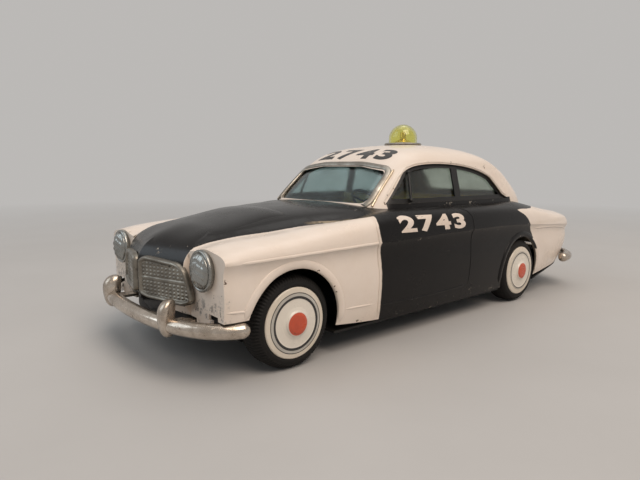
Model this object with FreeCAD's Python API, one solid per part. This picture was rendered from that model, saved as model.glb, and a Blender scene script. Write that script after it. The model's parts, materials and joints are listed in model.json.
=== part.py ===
import FreeCAD, Part
import math
import os

from FreeCAD import Vector

# Toy police car of pressed tinplate: a two-door saloon of the 1960s at about 1:20.
# Frame while modelling: millimetres, +Z up, nose towards -Y, the car's left side towards +X,
# the front axle at y = 0 and the floor at z = 0. Each piece is moved at the end so that the
# origin lies under the middle of the whole car.

# ---- overall sizes ------------------------------------------------------------------------
WHEELBASE = 120.0        # front axle to rear axle
FRONT_OVERHANG = 32.9    # front axle to the front of the bumper
REAR_OVERHANG = 63.9     # rear axle to the back of the bumper
WALL = 0.7               # tinplate, with its paint
FIT_GAP = 0.1            # between pressings that are tabbed together
SEAT_GAP = 0.3           # between loose inner pieces

# ---- lower body ---------------------------------------------------------------------------
FRONT_PANEL = 22.0       # front axle to the flat panel that carries the headlamps
TAIL_PANEL = 58.5        # rear axle to the rear panel
HALF_WIDTH = 38.6        # centre line to the shoulder crease at the doors
COWL = 40.0              # front axle to the foot of the windscreen pillars
DOOR_FRONT = 32.0        # front axle to the front edge of the door
DOOR_LENGTH = 50.0
SHOULDER = 33.4          # height of the crease along the side, at the door's rear edge
BELT = 41.9              # height of the body's edge under the side windows
BONNET_TOP = 43.6        # height of the bonnet at the cowl
SILL_BOTTOM = 7.2        # height of the body's lower edge between the wheels
INSET = 0.75             # the flat side lies this much inside the shoulder crease
ARCH_RADIUS_FRONT = 15.7
ARCH_RADIUS_REAR = 14.8
ARCH_HEIGHT = 12.7       # height of the arches' centres
APERTURE_LEDGE = 3.0     # the body reaches this far in under the cabin

# ---- nose ---------------------------------------------------------------------------------
NOSE_HALF_WIDTH = 19.0
NOSE_TIP = 28.6          # front axle to the ridge between the grilles
NOSE_SIDE = 23.9         # front axle to the outer end of the nose's two slanted faces
NOSE_BOTTOM = 13.0

# ---- cabin --------------------------------------------------------------------------------
CABIN_FRONT = 37.0       # front axle to the foot of the windscreen, on the centre line
CABIN_LENGTH = 100.5
CABIN_HALF_WIDTH = 31.5
CABIN_BASE = 41.0        # lowest level of the cabin's form, hidden in the body
ROOF_TOP = 65.0
SILL_STRIP = 1.7         # height of the strip between the body and the side windows

# ---- wheels -------------------------------------------------------------------------------
TYRE_RADIUS = 13.2
TYRE_WIDTH = 9.0
WHEEL_FACE = HALF_WIDTH - 1.6   # centre line to the rim of the printed wheel disc
DISC_RADIUS = 10.0
RED_RADIUS = 3.3         # radius of the raised middle of the disc
RED_RISE = 1.3
TYRE_BORE = 8.6          # radius at which the tyre sits on its hub
AXLE_RADIUS = 1.25
RUNNING = 0.05           # radial clearance of a shaft in its bearing

# ---- bumpers ------------------------------------------------------------------------------
BUMPER_RADIUS = 2.1
BUMPER_HEIGHT = 14.5
OVERRIDER_BACK = 0.8     # the overriders end this far behind the bumper's foremost point
OVERRIDER_OFFSET = HALF_WIDTH - 18.6    # centre line to an overrider
OVERRIDER_HEIGHT = 10.0
OVERRIDER_WIDTH = 4.2
OVERRIDER_DEPTH = 5.6
TAB_WIDTH = 4.6
TAB_SHEET = 0.8
TAB_OFFSET = HALF_WIDTH - 19.0        # centre line to the middle of a bumper's tab
TAB_END = 4.6            # the tabs end this far behind the headlamp panel

# ---- lamps, grilles and beacon ------------------------------------------------------------
LAMP_OFFSET = HALF_WIDTH - 11.0
LAMP_HEIGHT = 29.1
LAMP_RADIUS = 5.5
LAMP_RIM_DEPTH = 1.6
LAMP_DOME = 1.9
GRILLE_THICKNESS = 1.3
GRILLE_RIM = 0.9
TAIL_LAMP_OFFSET = HALF_WIDTH - 14.8
TAIL_LAMP_HEIGHT = 26.0
TAIL_LAMP_RADIUS = 3.0
BEACON_BEHIND_AXLE = 86.0
BEACON_RADIUS = 5.85
BEACON_HEIGHT = 8.56
BEACON_FLANGE_RADIUS = 7.7
BEACON_FLANGE = 0.8
BEACON_WALL = 0.8

# ---- base plate ---------------------------------------------------------------------------
PAN_SHEET = 0.7
PAN_HEIGHT = 6.9         # underside of the flat part
WHEEL_WELL = WHEEL_FACE - 11.8  # centre line to the inner edge of a wheel's cut-out
EAR_SHEET = 0.8
EAR_OFFSET = WHEEL_FACE - 13.4  # centre line to the inner face of an axle's ear
EAR_LENGTH = 9.0
EAR_TOP = 4.5            # from the axle to the ear's top

# ---- friction motor -----------------------------------------------------------------------
GEAR_MODULE = 0.5
GEAR_TEETH = 20
PINION_TEETH = 10
GEAR_WIDTH = 2.6
PINION_WIDTH = 3.8
BACKLASH = 0.14
MESH_SLACK = 0.1         # the shafts stand this much further apart than the pitch circles
MOTOR_HALF_WIDTH = 9.0   # centre line to the inner face of a side plate
MOTOR_PLATE = 1.0
MOTOR_FOOT = 3.0
SHAFT_RADIUS = 1.0
FLYWHEEL_RADIUS = 8.4
FLYWHEEL_WIDTH = 5.0
PILLAR_RADIUS = 1.3

REAR_AXLE = WHEELBASE
TAIL = REAR_AXLE + TAIL_PANEL
NOSE = -FRONT_PANEL
MIDDLE = (REAR_AXLE + REAR_OVERHANG - FRONT_OVERHANG) / 2.0
DOOR_REAR = DOOR_FRONT + DOOR_LENGTH
CABIN_REAR = CABIN_FRONT + CABIN_LENGTH
ROOF_SPAN = CABIN_LENGTH / 100.5
LARGE = 400.0

# Heights along the car, each a smooth curve through (distance behind the front axle, value).
CREST = [
    (NOSE, BONNET_TOP - 5.6),
    (NOSE + 8, BONNET_TOP - 5.2),
    (NOSE + 14, BONNET_TOP - 4.2),
    (0.0, BONNET_TOP - 2.9),
    (12.0, BONNET_TOP - 1.2),
    (26.0, BONNET_TOP - 0.2),
    (COWL, BONNET_TOP),
    (REAR_AXLE + 2, BONNET_TOP - 0.4),
    (REAR_AXLE + 10, BONNET_TOP - 1.2),
    (REAR_AXLE + 20, BONNET_TOP - 2.6),
    (TAIL - 28, BONNET_TOP - 4.2),
    (TAIL - 18, BONNET_TOP - 5.4),
    (TAIL - 9, BONNET_TOP - 6.8),
    (TAIL - 4, BONNET_TOP - 8.0),
    (TAIL, BONNET_TOP - 10.4),
]
GROOVE_OFFSET = [
    (NOSE, NOSE_HALF_WIDTH + 0.5),
    (-10.0, 22.0),
    (5.0, 24.5),
    (20.0, 27.0),
    (COWL, 30.0),
    (REAR_AXLE, 27.0),
    (TAIL - 20, 25.0),
    (TAIL, 18.0),
]
GROOVE = [
    (NOSE, BELT - 8.6),
    (NOSE + 6, BELT - 6.7),
    (-9.0, BELT - 5.6),
    (0.0, BELT - 4.8),
    (12.0, BELT - 3.4),
    (27.0, BELT - 2.1),
    (COWL, BELT - 0.2),
    (60.0, BELT + 0.3),
    (REAR_AXLE, BELT + 0.1),
    (REAR_AXLE + 15, BELT - 2.2),
    (TAIL - 28, BELT - 4.5),
    (TAIL - 16, BELT - 6.0),
    (TAIL - 9, BELT - 6.9),
    (TAIL - 4, BELT - 8.2),
    (TAIL, BELT - 10.8),
]
FENDER_TOP = [
    (NOSE, BELT - 7.4),
    (NOSE + 6, BELT - 6.2),
    (-8.0, BELT - 5.4),
    (0.0, BELT - 4.8),
    (12.0, BELT - 3.5),
    (26.0, BELT - 2.1),
    (COWL, BELT - 0.8),
    (60.0, BELT - 0.2),
    (110.0, BELT - 0.5),
    (REAR_AXLE + 5, BELT - 1.3),
    (REAR_AXLE + 18, BELT - 3.1),
    (TAIL - 28, BELT - 5.1),
    (TAIL - 16, BELT - 6.5),
    (TAIL - 9, BELT - 7.3),
    (TAIL - 4, BELT - 8.6),
    (TAIL, BELT - 11.2),
]
SHOULDER_LINE = [
    (NOSE, SHOULDER - 1.9),
    (0.0, SHOULDER - 1.4),
    (DOOR_FRONT, SHOULDER - 0.8),
    (60.0, SHOULDER - 0.2),
    (DOOR_REAR, SHOULDER),
    (100.0, SHOULDER),
    (REAR_AXLE + 4, SHOULDER - 0.9),
    (TAIL - 28, SHOULDER - 2.5),
    (TAIL - 9, SHOULDER - 3.8),
    (TAIL, SHOULDER - 5.4),
]
SIDE_OFFSET = [
    (NOSE, HALF_WIDTH - 0.9),
    (NOSE + 3, HALF_WIDTH - 0.3),
    (0.0, HALF_WIDTH),
    (DOOR_REAR, HALF_WIDTH),
    (REAR_AXLE, HALF_WIDTH - 0.4),
    (REAR_AXLE + 20, HALF_WIDTH - 1.4),
    (TAIL - 28, HALF_WIDTH - 2.2),
    (TAIL - 17, HALF_WIDTH - 3.4),
    (TAIL - 10, HALF_WIDTH - 5.0),
    (TAIL - 4, HALF_WIDTH - 7.3),
    (TAIL, HALF_WIDTH - 10.3),
]
LOWER_EDGE = [
    (NOSE, SILL_BOTTOM + 5.8),
    (0.0, SILL_BOTTOM + 4.2),
    (16.6, SILL_BOTTOM + 2.2),
    (DOOR_FRONT, SILL_BOTTOM + 0.8),
    (52.0, SILL_BOTTOM),
    (100.0, SILL_BOTTOM + 0.3),
    (REAR_AXLE, SILL_BOTTOM + 1.0),
    (REAR_AXLE + 16, SILL_BOTTOM + 2.3),
    (TAIL - 20, SILL_BOTTOM + 5.0),
    (TAIL - 13, SILL_BOTTOM + 7.8),
    (TAIL - 7, SILL_BOTTOM + 9.8),
    (TAIL, SILL_BOTTOM + 10.2),
]
BODY_STATIONS = [
    -NOSE_TIP - 1, NOSE - 3, NOSE, NOSE + 1.5, NOSE + 4, NOSE + 9, NOSE + 15,
    0.0, 10.0, 20.0, DOOR_FRONT, COWL, 52.0, 67.0, DOOR_REAR, 96.0, 108.0, REAR_AXLE,
    REAR_AXLE + 10, REAR_AXLE + 20, TAIL - 28, TAIL - 18, TAIL - 11, TAIL - 6, TAIL - 2.5, TAIL,
]

# The cabin by levels: (height, windscreen side, backlight side, half width, squareness). The two
# sides are distances from the cabin's foot to the outline at that height.
CABIN_LEVELS = [
    (CABIN_BASE, -0.9, 0.9, CABIN_HALF_WIDTH + 0.15, 6.5),
    (CABIN_BASE + 4, 2.6, 2.8, CABIN_HALF_WIDTH - 0.7, 6.4),
    (CABIN_BASE + 8, 6.4, 6.6, CABIN_HALF_WIDTH - 1.6, 6.2),
    (CABIN_BASE + 12, 10.6, 11.2, CABIN_HALF_WIDTH - 2.6, 6.0),
    (CABIN_BASE + 15, 13.9, 15.6, CABIN_HALF_WIDTH - 3.4, 5.6),
    (CABIN_BASE + 17.6, 17.0, 20.2, CABIN_HALF_WIDTH - 4.6, 5.0),
    (CABIN_BASE + 19.8, 20.6, 25.8, CABIN_HALF_WIDTH - 6.4, 4.4),
    (ROOF_TOP - 2.6, 24.6, 31.4, CABIN_HALF_WIDTH - 9.2, 3.9),
    (ROOF_TOP - 1.3, 30.4, 38.0, CABIN_HALF_WIDTH - 13.6, 3.4),
    (ROOF_TOP - 0.45, 37.4, 42.5, CABIN_HALF_WIDTH - 19.4, 2.8),
    (ROOF_TOP, 44.4, 46.5, CABIN_HALF_WIDTH - 25.8, 2.3),
]
SIDE_WINDOW = [
    (44.6, 0.0), (53.2, 8.4), (57.4, 11.6), (61.6, 12.8), (67.0, 13.4), (76.0, 13.6), (85.0, 13.2),
    (94.0, 12.1), (101.0, 10.5), (106.6, 8.3), (113.6, 1.7), (118.0, 0.0),
]
SCREEN_LOWER = 24.1      # half width of the windscreen's opening at its foot
SCREEN_UPPER = 22.7
SCREEN_FOOT = 43.6
SCREEN_HEAD = 54.4
SCREEN_CROWN = 1.9       # the opening's top is this much higher on the centre line
BACKLIGHT_LOWER = 21.0
BACKLIGHT_UPPER = 17.5
BACKLIGHT_FOOT = 46.0
BACKLIGHT_HEAD = 55.6
BACKLIGHT_CROWN = 1.4
CORNER = 2.2             # corner radius of the window openings
TRIM_WIDTH = 1.9
TRIM_HEIGHT = 0.5
GLAZING = 0.5
GLASS_LAP = 1.2          # the glazing reaches this far behind the opening's edge
POST_WIDTH = 3.6         # the post behind the door window
POST_AT = 83.5
FRAME_LIP = 1.5          # width of the black frame that shows in a side window
FRAME_SHEET = 0.6
VENT_FOOT = 55.4         # the slim post of the vent window, foot and head behind the front axle
VENT_HEAD = 57.2
VENT_TALL = 9.4
VENT_RADIUS = 0.5


def smooth(points, at):
    """Value at one place of a smooth curve through (place, value) points, without overshoot."""
    if at <= points[0][0]:
        return points[0][1]
    if at >= points[-1][0]:
        return points[-1][1]
    steps = [b[0] - a[0] for a, b in zip(points, points[1:])]
    slopes = [(b[1] - a[1]) / h for a, b, h in zip(points, points[1:], steps)]
    tangents = [slopes[0]]
    for before, after in zip(slopes, slopes[1:]):
        if before * after <= 0:
            tangents.append(0.0)
        else:
            tangents.append(2.0 * before * after / (before + after))
    tangents.append(slopes[-1])
    i = max(k for k in range(len(steps)) if points[k][0] <= at)
    h = steps[i]
    t = (at - points[i][0]) / h
    value = (2 * t**3 - 3 * t**2 + 1) * points[i][1]
    value += (t**3 - 2 * t**2 + t) * h * tangents[i]
    value += (3 * t**2 - 2 * t**3) * points[i + 1][1]
    value += (t**3 - t**2) * h * tangents[i + 1]
    return value


def shared_parameters(rows, closed=False):
    """Spacing from 0 to 1 that fits all rows of matching points, so that a loft stays light."""
    count = len(rows[0])
    places = [0.0]
    for i in range(1, count + (1 if closed else 0)):
        mean = sum((row[i % count] - row[i - 1]).Length for row in rows) / len(rows)
        places.append(places[-1] + mean)
    return [place / places[-1] for place in places]


def spline_edge(points, places):
    """Open smooth edge through points at the given parameters."""
    curve = Part.BSplineCurve()
    curve.interpolate(Points=points, Parameters=places)
    return curve.toShape()


def loft(wires):
    """Closed solid through wires, its faces outwards."""
    solid = Part.makeLoft(wires, True, False)
    if solid.Volume < 0:
        solid.reverse()
    return solid


def box(x0, x1, y0, y1, z0, z1):
    return Part.makeBox(x1 - x0, y1 - y0, z1 - z0, Vector(x0, y0, z0))


def rod(radius, start, end):
    axis = end - start
    return Part.makeCylinder(radius, axis.Length, start, axis)


def mirrored(shape):
    """The same piece on the car's other side."""
    return shape.mirror(Vector(0, 0, 0), Vector(1, 0, 0))


def rounded_outline(points, radius):
    """Closed wire of straight runs with an arc of one radius at each corner."""
    count = len(points)
    edges = []
    starts = []
    ends = []
    for i in range(count):
        corner = points[i]
        back = (points[i - 1] - corner).normalize()
        ahead = (points[(i + 1) % count] - corner).normalize()
        half = back.getAngle(ahead) / 2.0
        reach = radius / math.tan(half)
        middle = (back + ahead).normalize()
        centre = corner + middle * (radius / math.sin(half))
        starts.append(corner + back * reach)
        ends.append(corner + ahead * reach)
        edges.append(Part.Arc(starts[i], centre - middle * radius, ends[i]).toShape())
    for i in range(count):
        after = (i + 1) % count
        if ends[i].distanceToPoint(starts[after]) > 1e-4:
            edges.append(Part.LineSegment(ends[i], starts[after]).toShape())
    return Part.Wire(Part.__sortEdges__(edges))


def prism(wire, direction):
    return Part.Face(wire).extrude(direction)


# ---- lower body ---------------------------------------------------------------------------
CREASE_POINT = 9         # index of the shoulder crease in a half section


def body_half_section(y):
    """Points (x, z) of the body's outline at one station, from the centre line to the lower edge."""
    crest = smooth(CREST, y)
    groove_x = smooth(GROOVE_OFFSET, y)
    groove_z = smooth(GROOVE, y)
    top = smooth(FENDER_TOP, y)
    side = smooth(SIDE_OFFSET, y)
    crease = smooth(SHOULDER_LINE, y)
    foot = smooth(LOWER_EDGE, y)
    rise = crest - groove_z
    return [
        (0.0, crest),
        (0.34 * groove_x, crest - 0.06 * rise),
        (0.66 * groove_x, crest - 0.27 * rise),
        (0.88 * groove_x, crest - 0.66 * rise),
        (groove_x, groove_z),
        (groove_x + 0.38 * (side - groove_x), max(top, groove_z)),
        (side - 0.30 * (side - groove_x), top - 0.10 * (top - crease)),
        (side - 0.10 * (side - groove_x), top - 0.33 * (top - crease)),
        (side - 0.2, crease + 0.30 * (top - crease)),
        (side, crease),
        (side - INSET, crease - 1.5),
        (side - INSET - 0.05, crease - 0.35 * (crease - foot)),
        (side - INSET - 0.25, crease - 0.70 * (crease - foot)),
        (side - INSET - 1.4, foot),
    ]


def shifted(points, distance):
    """An outline moved out by a distance, square to itself."""
    moved = []
    for i, (x, z) in enumerate(points):
        x0, z0 = points[max(i - 1, 0)]
        x1, z1 = points[min(i + 1, len(points) - 1)]
        length = math.hypot(x1 - x0, z1 - z0)
        moved.append((x - distance * (z1 - z0) / length, z + distance * (x1 - x0) / length))
    return moved


def body_form(offset, drop):
    """The body as a solid block, moved out by offset, its underside lowered by drop."""
    overs = []
    sides = []
    for i, y in enumerate(BODY_STATIONS):
        half = shifted(body_half_section(y), offset)
        half[0] = (0.0, smooth(CREST, y) + offset)
        half[-1] = (half[-1][0], smooth(LOWER_EDGE, y) - drop)
        place = y
        if i == 0:
            place = y - offset
        if i == len(BODY_STATIONS) - 1:
            place = y + offset
        left = [Vector(x, place, z) for x, z in half]
        over = left[:CREASE_POINT + 1]
        right_over = [Vector(-p.x, p.y, p.z) for p in reversed(over[1:])]
        overs.append(right_over + over)
        sides.append(left[CREASE_POINT:])
    over_places = shared_parameters(overs)
    side_places = shared_parameters(sides)
    wires = []
    for over, side in zip(overs, sides):
        other = [Vector(-p.x, p.y, p.z) for p in side]
        edges = [
            spline_edge(over, over_places),
            spline_edge(side, side_places),
            Part.LineSegment(side[-1], other[-1]).toShape(),
            spline_edge(other, side_places),
        ]
        wires.append(Part.Wire(edges))
    return loft(wires)


def nose_cutter(offset):
    """Space in front of one slanted half of the nose, which rolls over into the bonnet."""
    brow = BONNET_TOP - 7.8
    roll = shifted([
        (-NOSE_TIP + 1.5, NOSE_BOTTOM - 8.0),
        (-NOSE_TIP + 1.2, NOSE_BOTTOM + 3.8),
        (-NOSE_TIP + 0.2, NOSE_BOTTOM + 5.8),
        (-NOSE_TIP, NOSE_BOTTOM + 9.0),
        (-NOSE_TIP, brow - 8.2),
        (-NOSE_TIP + 0.5, brow - 5.4),
        (-NOSE_TIP + 1.8, brow - 3.2),
        (-NOSE_TIP + 3.8, brow - 1.4),
        (-NOSE_TIP + 6.4, brow),
        (-NOSE_TIP + 10.0, brow + 1.4),
        (-NOSE_TIP + 18.0, brow + 4.4),
    ], offset)
    points = [Vector(0, y, z) for y, z in roll]
    last = points[-1]
    ahead = Vector(0, -LARGE, last.z)
    below = Vector(0, -LARGE, points[0].z)
    wire = Part.Wire([
        spline_edge(points, shared_parameters([points])),
        Part.LineSegment(last, ahead).toShape(),
        Part.LineSegment(ahead, below).toShape(),
        Part.LineSegment(below, points[0]).toShape(),
    ])
    reach = NOSE_HALF_WIDTH + 0.5
    slant = (NOSE_TIP - NOSE_SIDE) / NOSE_HALF_WIDTH
    return prism(wire, Vector(reach, reach * slant, 0))


def body_block(offset, drop):
    """The whole body as a block: cut back to the headlamp panels, and to a wedge between them."""
    block = body_form(offset, drop)
    inner_x = NOSE_HALF_WIDTH + offset
    panel = NOSE - offset
    notch = box(inner_x, LARGE, -LARGE, panel, -LARGE, LARGE)
    cutter = nose_cutter(offset)
    return block.cut([notch, mirrored(notch), cutter, mirrored(cutter)])


def arch_cutter(y, radius):
    reach = HALF_WIDTH + 5.0
    return rod(radius, Vector(-reach, y, ARCH_HEIGHT), Vector(reach, y, ARCH_HEIGHT))


# ---- cabin --------------------------------------------------------------------------------
def cabin_point(level, angle):
    """Point of the cabin's outer surface at one of its levels."""
    z, front, rear, half, square = level
    y0 = CABIN_FRONT + front * ROOF_SPAN
    y1 = CABIN_REAR - rear * ROOF_SPAN
    c = math.cos(angle)
    s = math.sin(angle)
    x = half * math.copysign(abs(c) ** (2.0 / square), c)
    y = (y0 + y1) / 2.0 + (y1 - y0) / 2.0 * math.copysign(abs(s) ** (2.0 / square), s)
    return Vector(x, y, z)


def cabin_angles():
    """Directions round the cabin, closest together where the outline runs straight."""
    quarter = [0.0, 1.2, 6.0, 16.0, 30.0, 45.0, 60.0, 74.0, 84.0, 88.8]
    return [math.radians(90.0 * turn + step) for turn in range(4) for step in quarter]


def cabin_form(offset, drop=1.5):
    """The cabin as a solid block, moved out square to its surface, its foot carried on downwards."""
    angles = cabin_angles()
    count = len(angles)
    grid = [[cabin_point(level, a) for a in angles] for level in CABIN_LEVELS]
    rows = []
    for i, row in enumerate(grid):
        moved = []
        for j, p in enumerate(row):
            around = row[(j + 1) % count] - row[j - 1]
            up = grid[min(i + 1, len(grid) - 1)][j] - grid[max(i - 1, 0)][j]
            normal = around.cross(up).normalize()
            if i == len(grid) - 1:
                normal = Vector(0, 0, 1)
            moved.append(p + normal * offset)
        rows.append(moved)
    foot = []
    for low, above in zip(rows[0], rows[1]):
        q = low - (above - low) * (drop / (above.z - low.z))
        foot.append(Vector(q.x, q.y, CABIN_BASE - drop))
    rows.insert(0, foot)
    places = shared_parameters(rows, True)
    wires = []
    for moved in rows:
        curve = Part.BSplineCurve()
        curve.interpolate(Points=moved, PeriodicFlag=True, Parameters=places)
        wires.append(Part.Wire(curve.toShape()))
    return loft(wires)


def cabin_layer(outside, inside):
    """Skin of the cabin between two offsets, open below."""
    return cabin_form(outside).cut(cabin_form(inside, 2.5))


def side_window_outline(grow, x):
    """Opening of one side: a flat foot, and a smooth line over the top."""
    foot = BELT + SILL_STRIP
    middle_y = (SIDE_WINDOW[0][0] + SIDE_WINDOW[-1][0]) / 2.0
    reach = (SIDE_WINDOW[-1][0] - SIDE_WINDOW[0][0]) / 2.0
    tall = max(h for y, h in SIDE_WINDOW)
    points = []
    for y, h in SIDE_WINDOW:
        wide = (y - middle_y) * (1.0 + grow / reach)
        points.append(Vector(x, middle_y + wide, foot + h * (1.0 + grow / tall)))
    low = foot - max(grow, 0.0)
    edges = [
        Part.LineSegment(points[0], points[1]).toShape(),
        spline_edge(points[1:-2], shared_parameters([points[1:-2]])),
        Part.LineSegment(points[-3], points[-2]).toShape(),
        Part.LineSegment(points[-2], points[-1]).toShape(),
    ]
    if grow > 0:
        first = Vector(x, points[0].y, low)
        last = Vector(x, points[-1].y, low)
        edges.append(Part.LineSegment(points[-1], last).toShape())
        edges.append(Part.LineSegment(last, first).toShape())
        edges.append(Part.LineSegment(first, points[0]).toShape())
    else:
        edges.append(Part.LineSegment(points[-1], points[0]).toShape())
    return Part.Wire(Part.__sortEdges__(edges))


def side_window(grow):
    """Block through the cabin's left side, shaped as the side window."""
    return prism(side_window_outline(grow, 15.0), Vector(25.0, 0, 0))


def screen_block(grow, front):
    """Block through the windscreen, or the backlight, grown by a margin."""
    if front:
        lower, upper, foot, head, crown = (
            SCREEN_LOWER, SCREEN_UPPER, SCREEN_FOOT, SCREEN_HEAD, SCREEN_CROWN)
    else:
        lower, upper, foot, head, crown = (
            BACKLIGHT_LOWER, BACKLIGHT_UPPER, BACKLIGHT_FOOT, BACKLIGHT_HEAD, BACKLIGHT_CROWN)
    y = CABIN_FRONT - 10.0
    depth = 0.34 * CABIN_LENGTH
    if not front:
        y = CABIN_REAR + 10.0 - depth
    points = [
        Vector(-lower - grow, y, foot - grow),
        Vector(lower + grow, y, foot - grow),
        Vector(upper + grow, y, head + grow),
        Vector(0.45 * upper, y, head + 0.9 * crown + grow),
        Vector(-0.45 * upper, y, head + 0.9 * crown + grow),
        Vector(-upper - grow, y, head + grow),
    ]
    wire = rounded_outline(points, CORNER + max(grow, 0.0) * 0.6)
    return prism(wire, Vector(0, depth, 0))


def screen_blocks():
    """Space kept free for the windscreen and the backlight."""
    margin = GLASS_LAP + SEAT_GAP
    return [screen_block(margin, True), screen_block(margin, False)]


# ---- pieces of the body -------------------------------------------------------------------
# Slots under a headlamp: (from, to, bottom, top). The bumper's tab passes through the first one.
PANEL_SLOTS = [
    (HALF_WIDTH - 23.6, HALF_WIDTH - 16.2, 13.7, 15.5),
    (HALF_WIDTH - 9.6, HALF_WIDTH - 4.9, 16.5, 18.0),
]
APRON_END = HALF_WIDTH - 8.2    # outside this the panel ends above the bumper


def make_body(outer):
    """Lower pressing: fenders, bonnet, doors and boot in one, open below and under the cabin."""
    shell = outer.cut(body_block(-WALL, 4.0))
    aperture = cabin_form(-APERTURE_LEDGE, 6.0)
    shell = shell.cut(aperture)
    shell = shell.cut(arch_cutter(0.0, ARCH_RADIUS_FRONT))
    shell = shell.cut(arch_cutter(REAR_AXLE, ARCH_RADIUS_REAR))
    low = BUMPER_HEIGHT + BUMPER_RADIUS + SEAT_GAP
    corner = box(APRON_END, LARGE, -LARGE, NOSE + 10, -LARGE, low)
    shell = shell.cut([corner, mirrored(corner)])
    for x0, x1, z0, z1 in PANEL_SLOTS:
        slot = box(x0, x1, NOSE - 4, NOSE + 2, z0, z1)
        shell = shell.cut([slot, mirrored(slot)])
    return shell


def make_roof(outer):
    """Upper pressing: pillars and roof, with the window openings."""
    shell = cabin_layer(0.0, -WALL)
    shell = shell.cut(outer)
    opening = side_window(0.0)
    shell = shell.cut(opening).cut(mirrored(opening))
    shell = shell.cut(screen_block(0.0, True)).cut(screen_block(0.0, False))
    hole = rod(BEACON_BOLT + FIT_GAP, Vector(0, BEACON_BEHIND_AXLE, ROOF_TOP - 6),
               Vector(0, BEACON_BEHIND_AXLE, ROOF_TOP + 6))
    return shell.cut(hole)


def make_screen_trim(front, outer):
    ring = screen_block(TRIM_WIDTH, front).cut(screen_block(0.0, front))
    return cabin_layer(TRIM_HEIGHT, FIT_GAP / 2).common(ring).cut(outer)


def make_screen(front, outer):
    skin = cabin_layer(-WALL - FIT_GAP, -WALL - FIT_GAP - GLAZING)
    return skin.common(screen_block(GLASS_LAP, front)).cut(outer)


def make_side_frame(outer):
    """Black frame behind a side window, with the post between its two panes."""
    skin = cabin_layer(-WALL - FIT_GAP, -WALL - FIT_GAP - FRAME_SHEET)
    blank = side_window(GLASS_LAP)
    pane = side_window(-FRAME_LIP)
    low = BELT + SILL_STRIP + FRAME_LIP
    pane = pane.cut(box(0, LARGE, -LARGE, LARGE, 0, low))
    pane = pane.cut(box(0, LARGE, POST_AT - POST_WIDTH / 2, POST_AT + POST_WIDTH / 2, 0, LARGE))
    return skin.common(blank).cut(pane).cut(outer).cut(screen_blocks())


def make_side_glass(outer):
    start = -WALL - 2 * FIT_GAP - FRAME_SHEET
    skin = cabin_layer(start, start - GLAZING)
    return skin.common(side_window(GLASS_LAP)).cut(outer).cut(screen_blocks())


def cabin_side(y, z):
    """Distance from the centre line to the cabin's outer surface at one place of its side."""
    front, rear, half, square = [
        smooth([(level[0], level[i]) for level in CABIN_LEVELS], z) for i in (1, 2, 3, 4)]
    y0 = CABIN_FRONT + front * ROOF_SPAN
    y1 = CABIN_REAR - rear * ROOF_SPAN
    share = abs(2.0 * y - y0 - y1) / (y1 - y0)
    return half * (1.0 - share ** square) ** (1.0 / square)


def make_vent_post():
    """Slim round post that divides the vent window from the door window."""
    bead = VENT_RADIUS * 1.4
    foot_z = BELT + SILL_STRIP + 1.0
    head_z = foot_z + VENT_TALL
    stand = bead - WALL - FIT_GAP / 2
    foot = Vector(cabin_side(VENT_FOOT, foot_z) + stand, VENT_FOOT, foot_z)
    head = Vector(cabin_side(VENT_HEAD, head_z) + stand, VENT_HEAD, head_z)
    post = rod(VENT_RADIUS, foot, head)
    return post.fuse([Part.makeSphere(bead, foot), Part.makeSphere(bead, head)])


# ---- lamps and grilles --------------------------------------------------------------------
def turned(profile, place, direction):
    """Solid of revolution: profile is (radius, height) points or edges round the local Z axis."""
    points = [Vector(r, 0, h) for r, h in profile]
    face = Part.Face(Part.makePolygon(points + [points[0]]))
    solid = face.revolve(Vector(0, 0, 0), Vector(0, 0, 1), 360)
    solid.Placement = FreeCAD.Placement(place, FreeCAD.Rotation(Vector(0, 0, 1), direction))
    return solid


def dome_profile(radius, rise, steps, start=0.0):
    """Points of a shallow dome from its rim to its crown."""
    points = []
    for i in range(steps + 1):
        angle = math.pi / 2 * i / steps
        points.append((radius * math.cos(angle), start + rise * math.sin(angle)))
    return points


def make_headlamp():
    """Pressed headlamp: a rolled rim and a domed lens in one nickelled piece."""
    rim = LAMP_RADIUS - 0.75
    profile = [(0.0, 0.0), (LAMP_RADIUS - 0.3, 0.0), (LAMP_RADIUS, 0.4),
               (LAMP_RADIUS, LAMP_RIM_DEPTH - 0.4), (LAMP_RADIUS - 0.25, LAMP_RIM_DEPTH)]
    profile += [(rim + 0.15, LAMP_RIM_DEPTH + 0.1)]
    profile += dome_profile(rim, LAMP_DOME, 7, LAMP_RIM_DEPTH - 0.1)
    return turned(profile, Vector(LAMP_OFFSET, NOSE, LAMP_HEIGHT), Vector(0, -1, 0))


def make_tail_lamp():
    profile = [(0.0, -1.0), (TAIL_LAMP_RADIUS, -1.0), (TAIL_LAMP_RADIUS, 0.6)]
    profile += dome_profile(TAIL_LAMP_RADIUS - 0.3, 1.5, 6, 0.6)
    return turned(profile, Vector(TAIL_LAMP_OFFSET, TAIL, TAIL_LAMP_HEIGHT), Vector(0, 1, 0))


def grille_frame():
    """Origin and directions of the left grille's plane on the nose's slanted face."""
    inner = Vector(0.0, -NOSE_TIP, 0)
    outer_end = Vector(NOSE_HALF_WIDTH - 1.3, -NOSE_SIDE - 0.1, 0)
    across = (outer_end - inner).normalize()
    outward = across.cross(Vector(0, 0, 1)).normalize()
    if outward.y > 0:
        outward = outward * -1
    return inner, across, outward


GRILLE_OUTLINE = [
    (1.3, 19.6), (4.6, 18.5), (19.6, 18.3), (23.4, 19.5), (23.2, 22.5),
    (20.6, 28.4), (17.6, 30.0), (4.0, 30.7), (1.2, 29.4),
]


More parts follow.
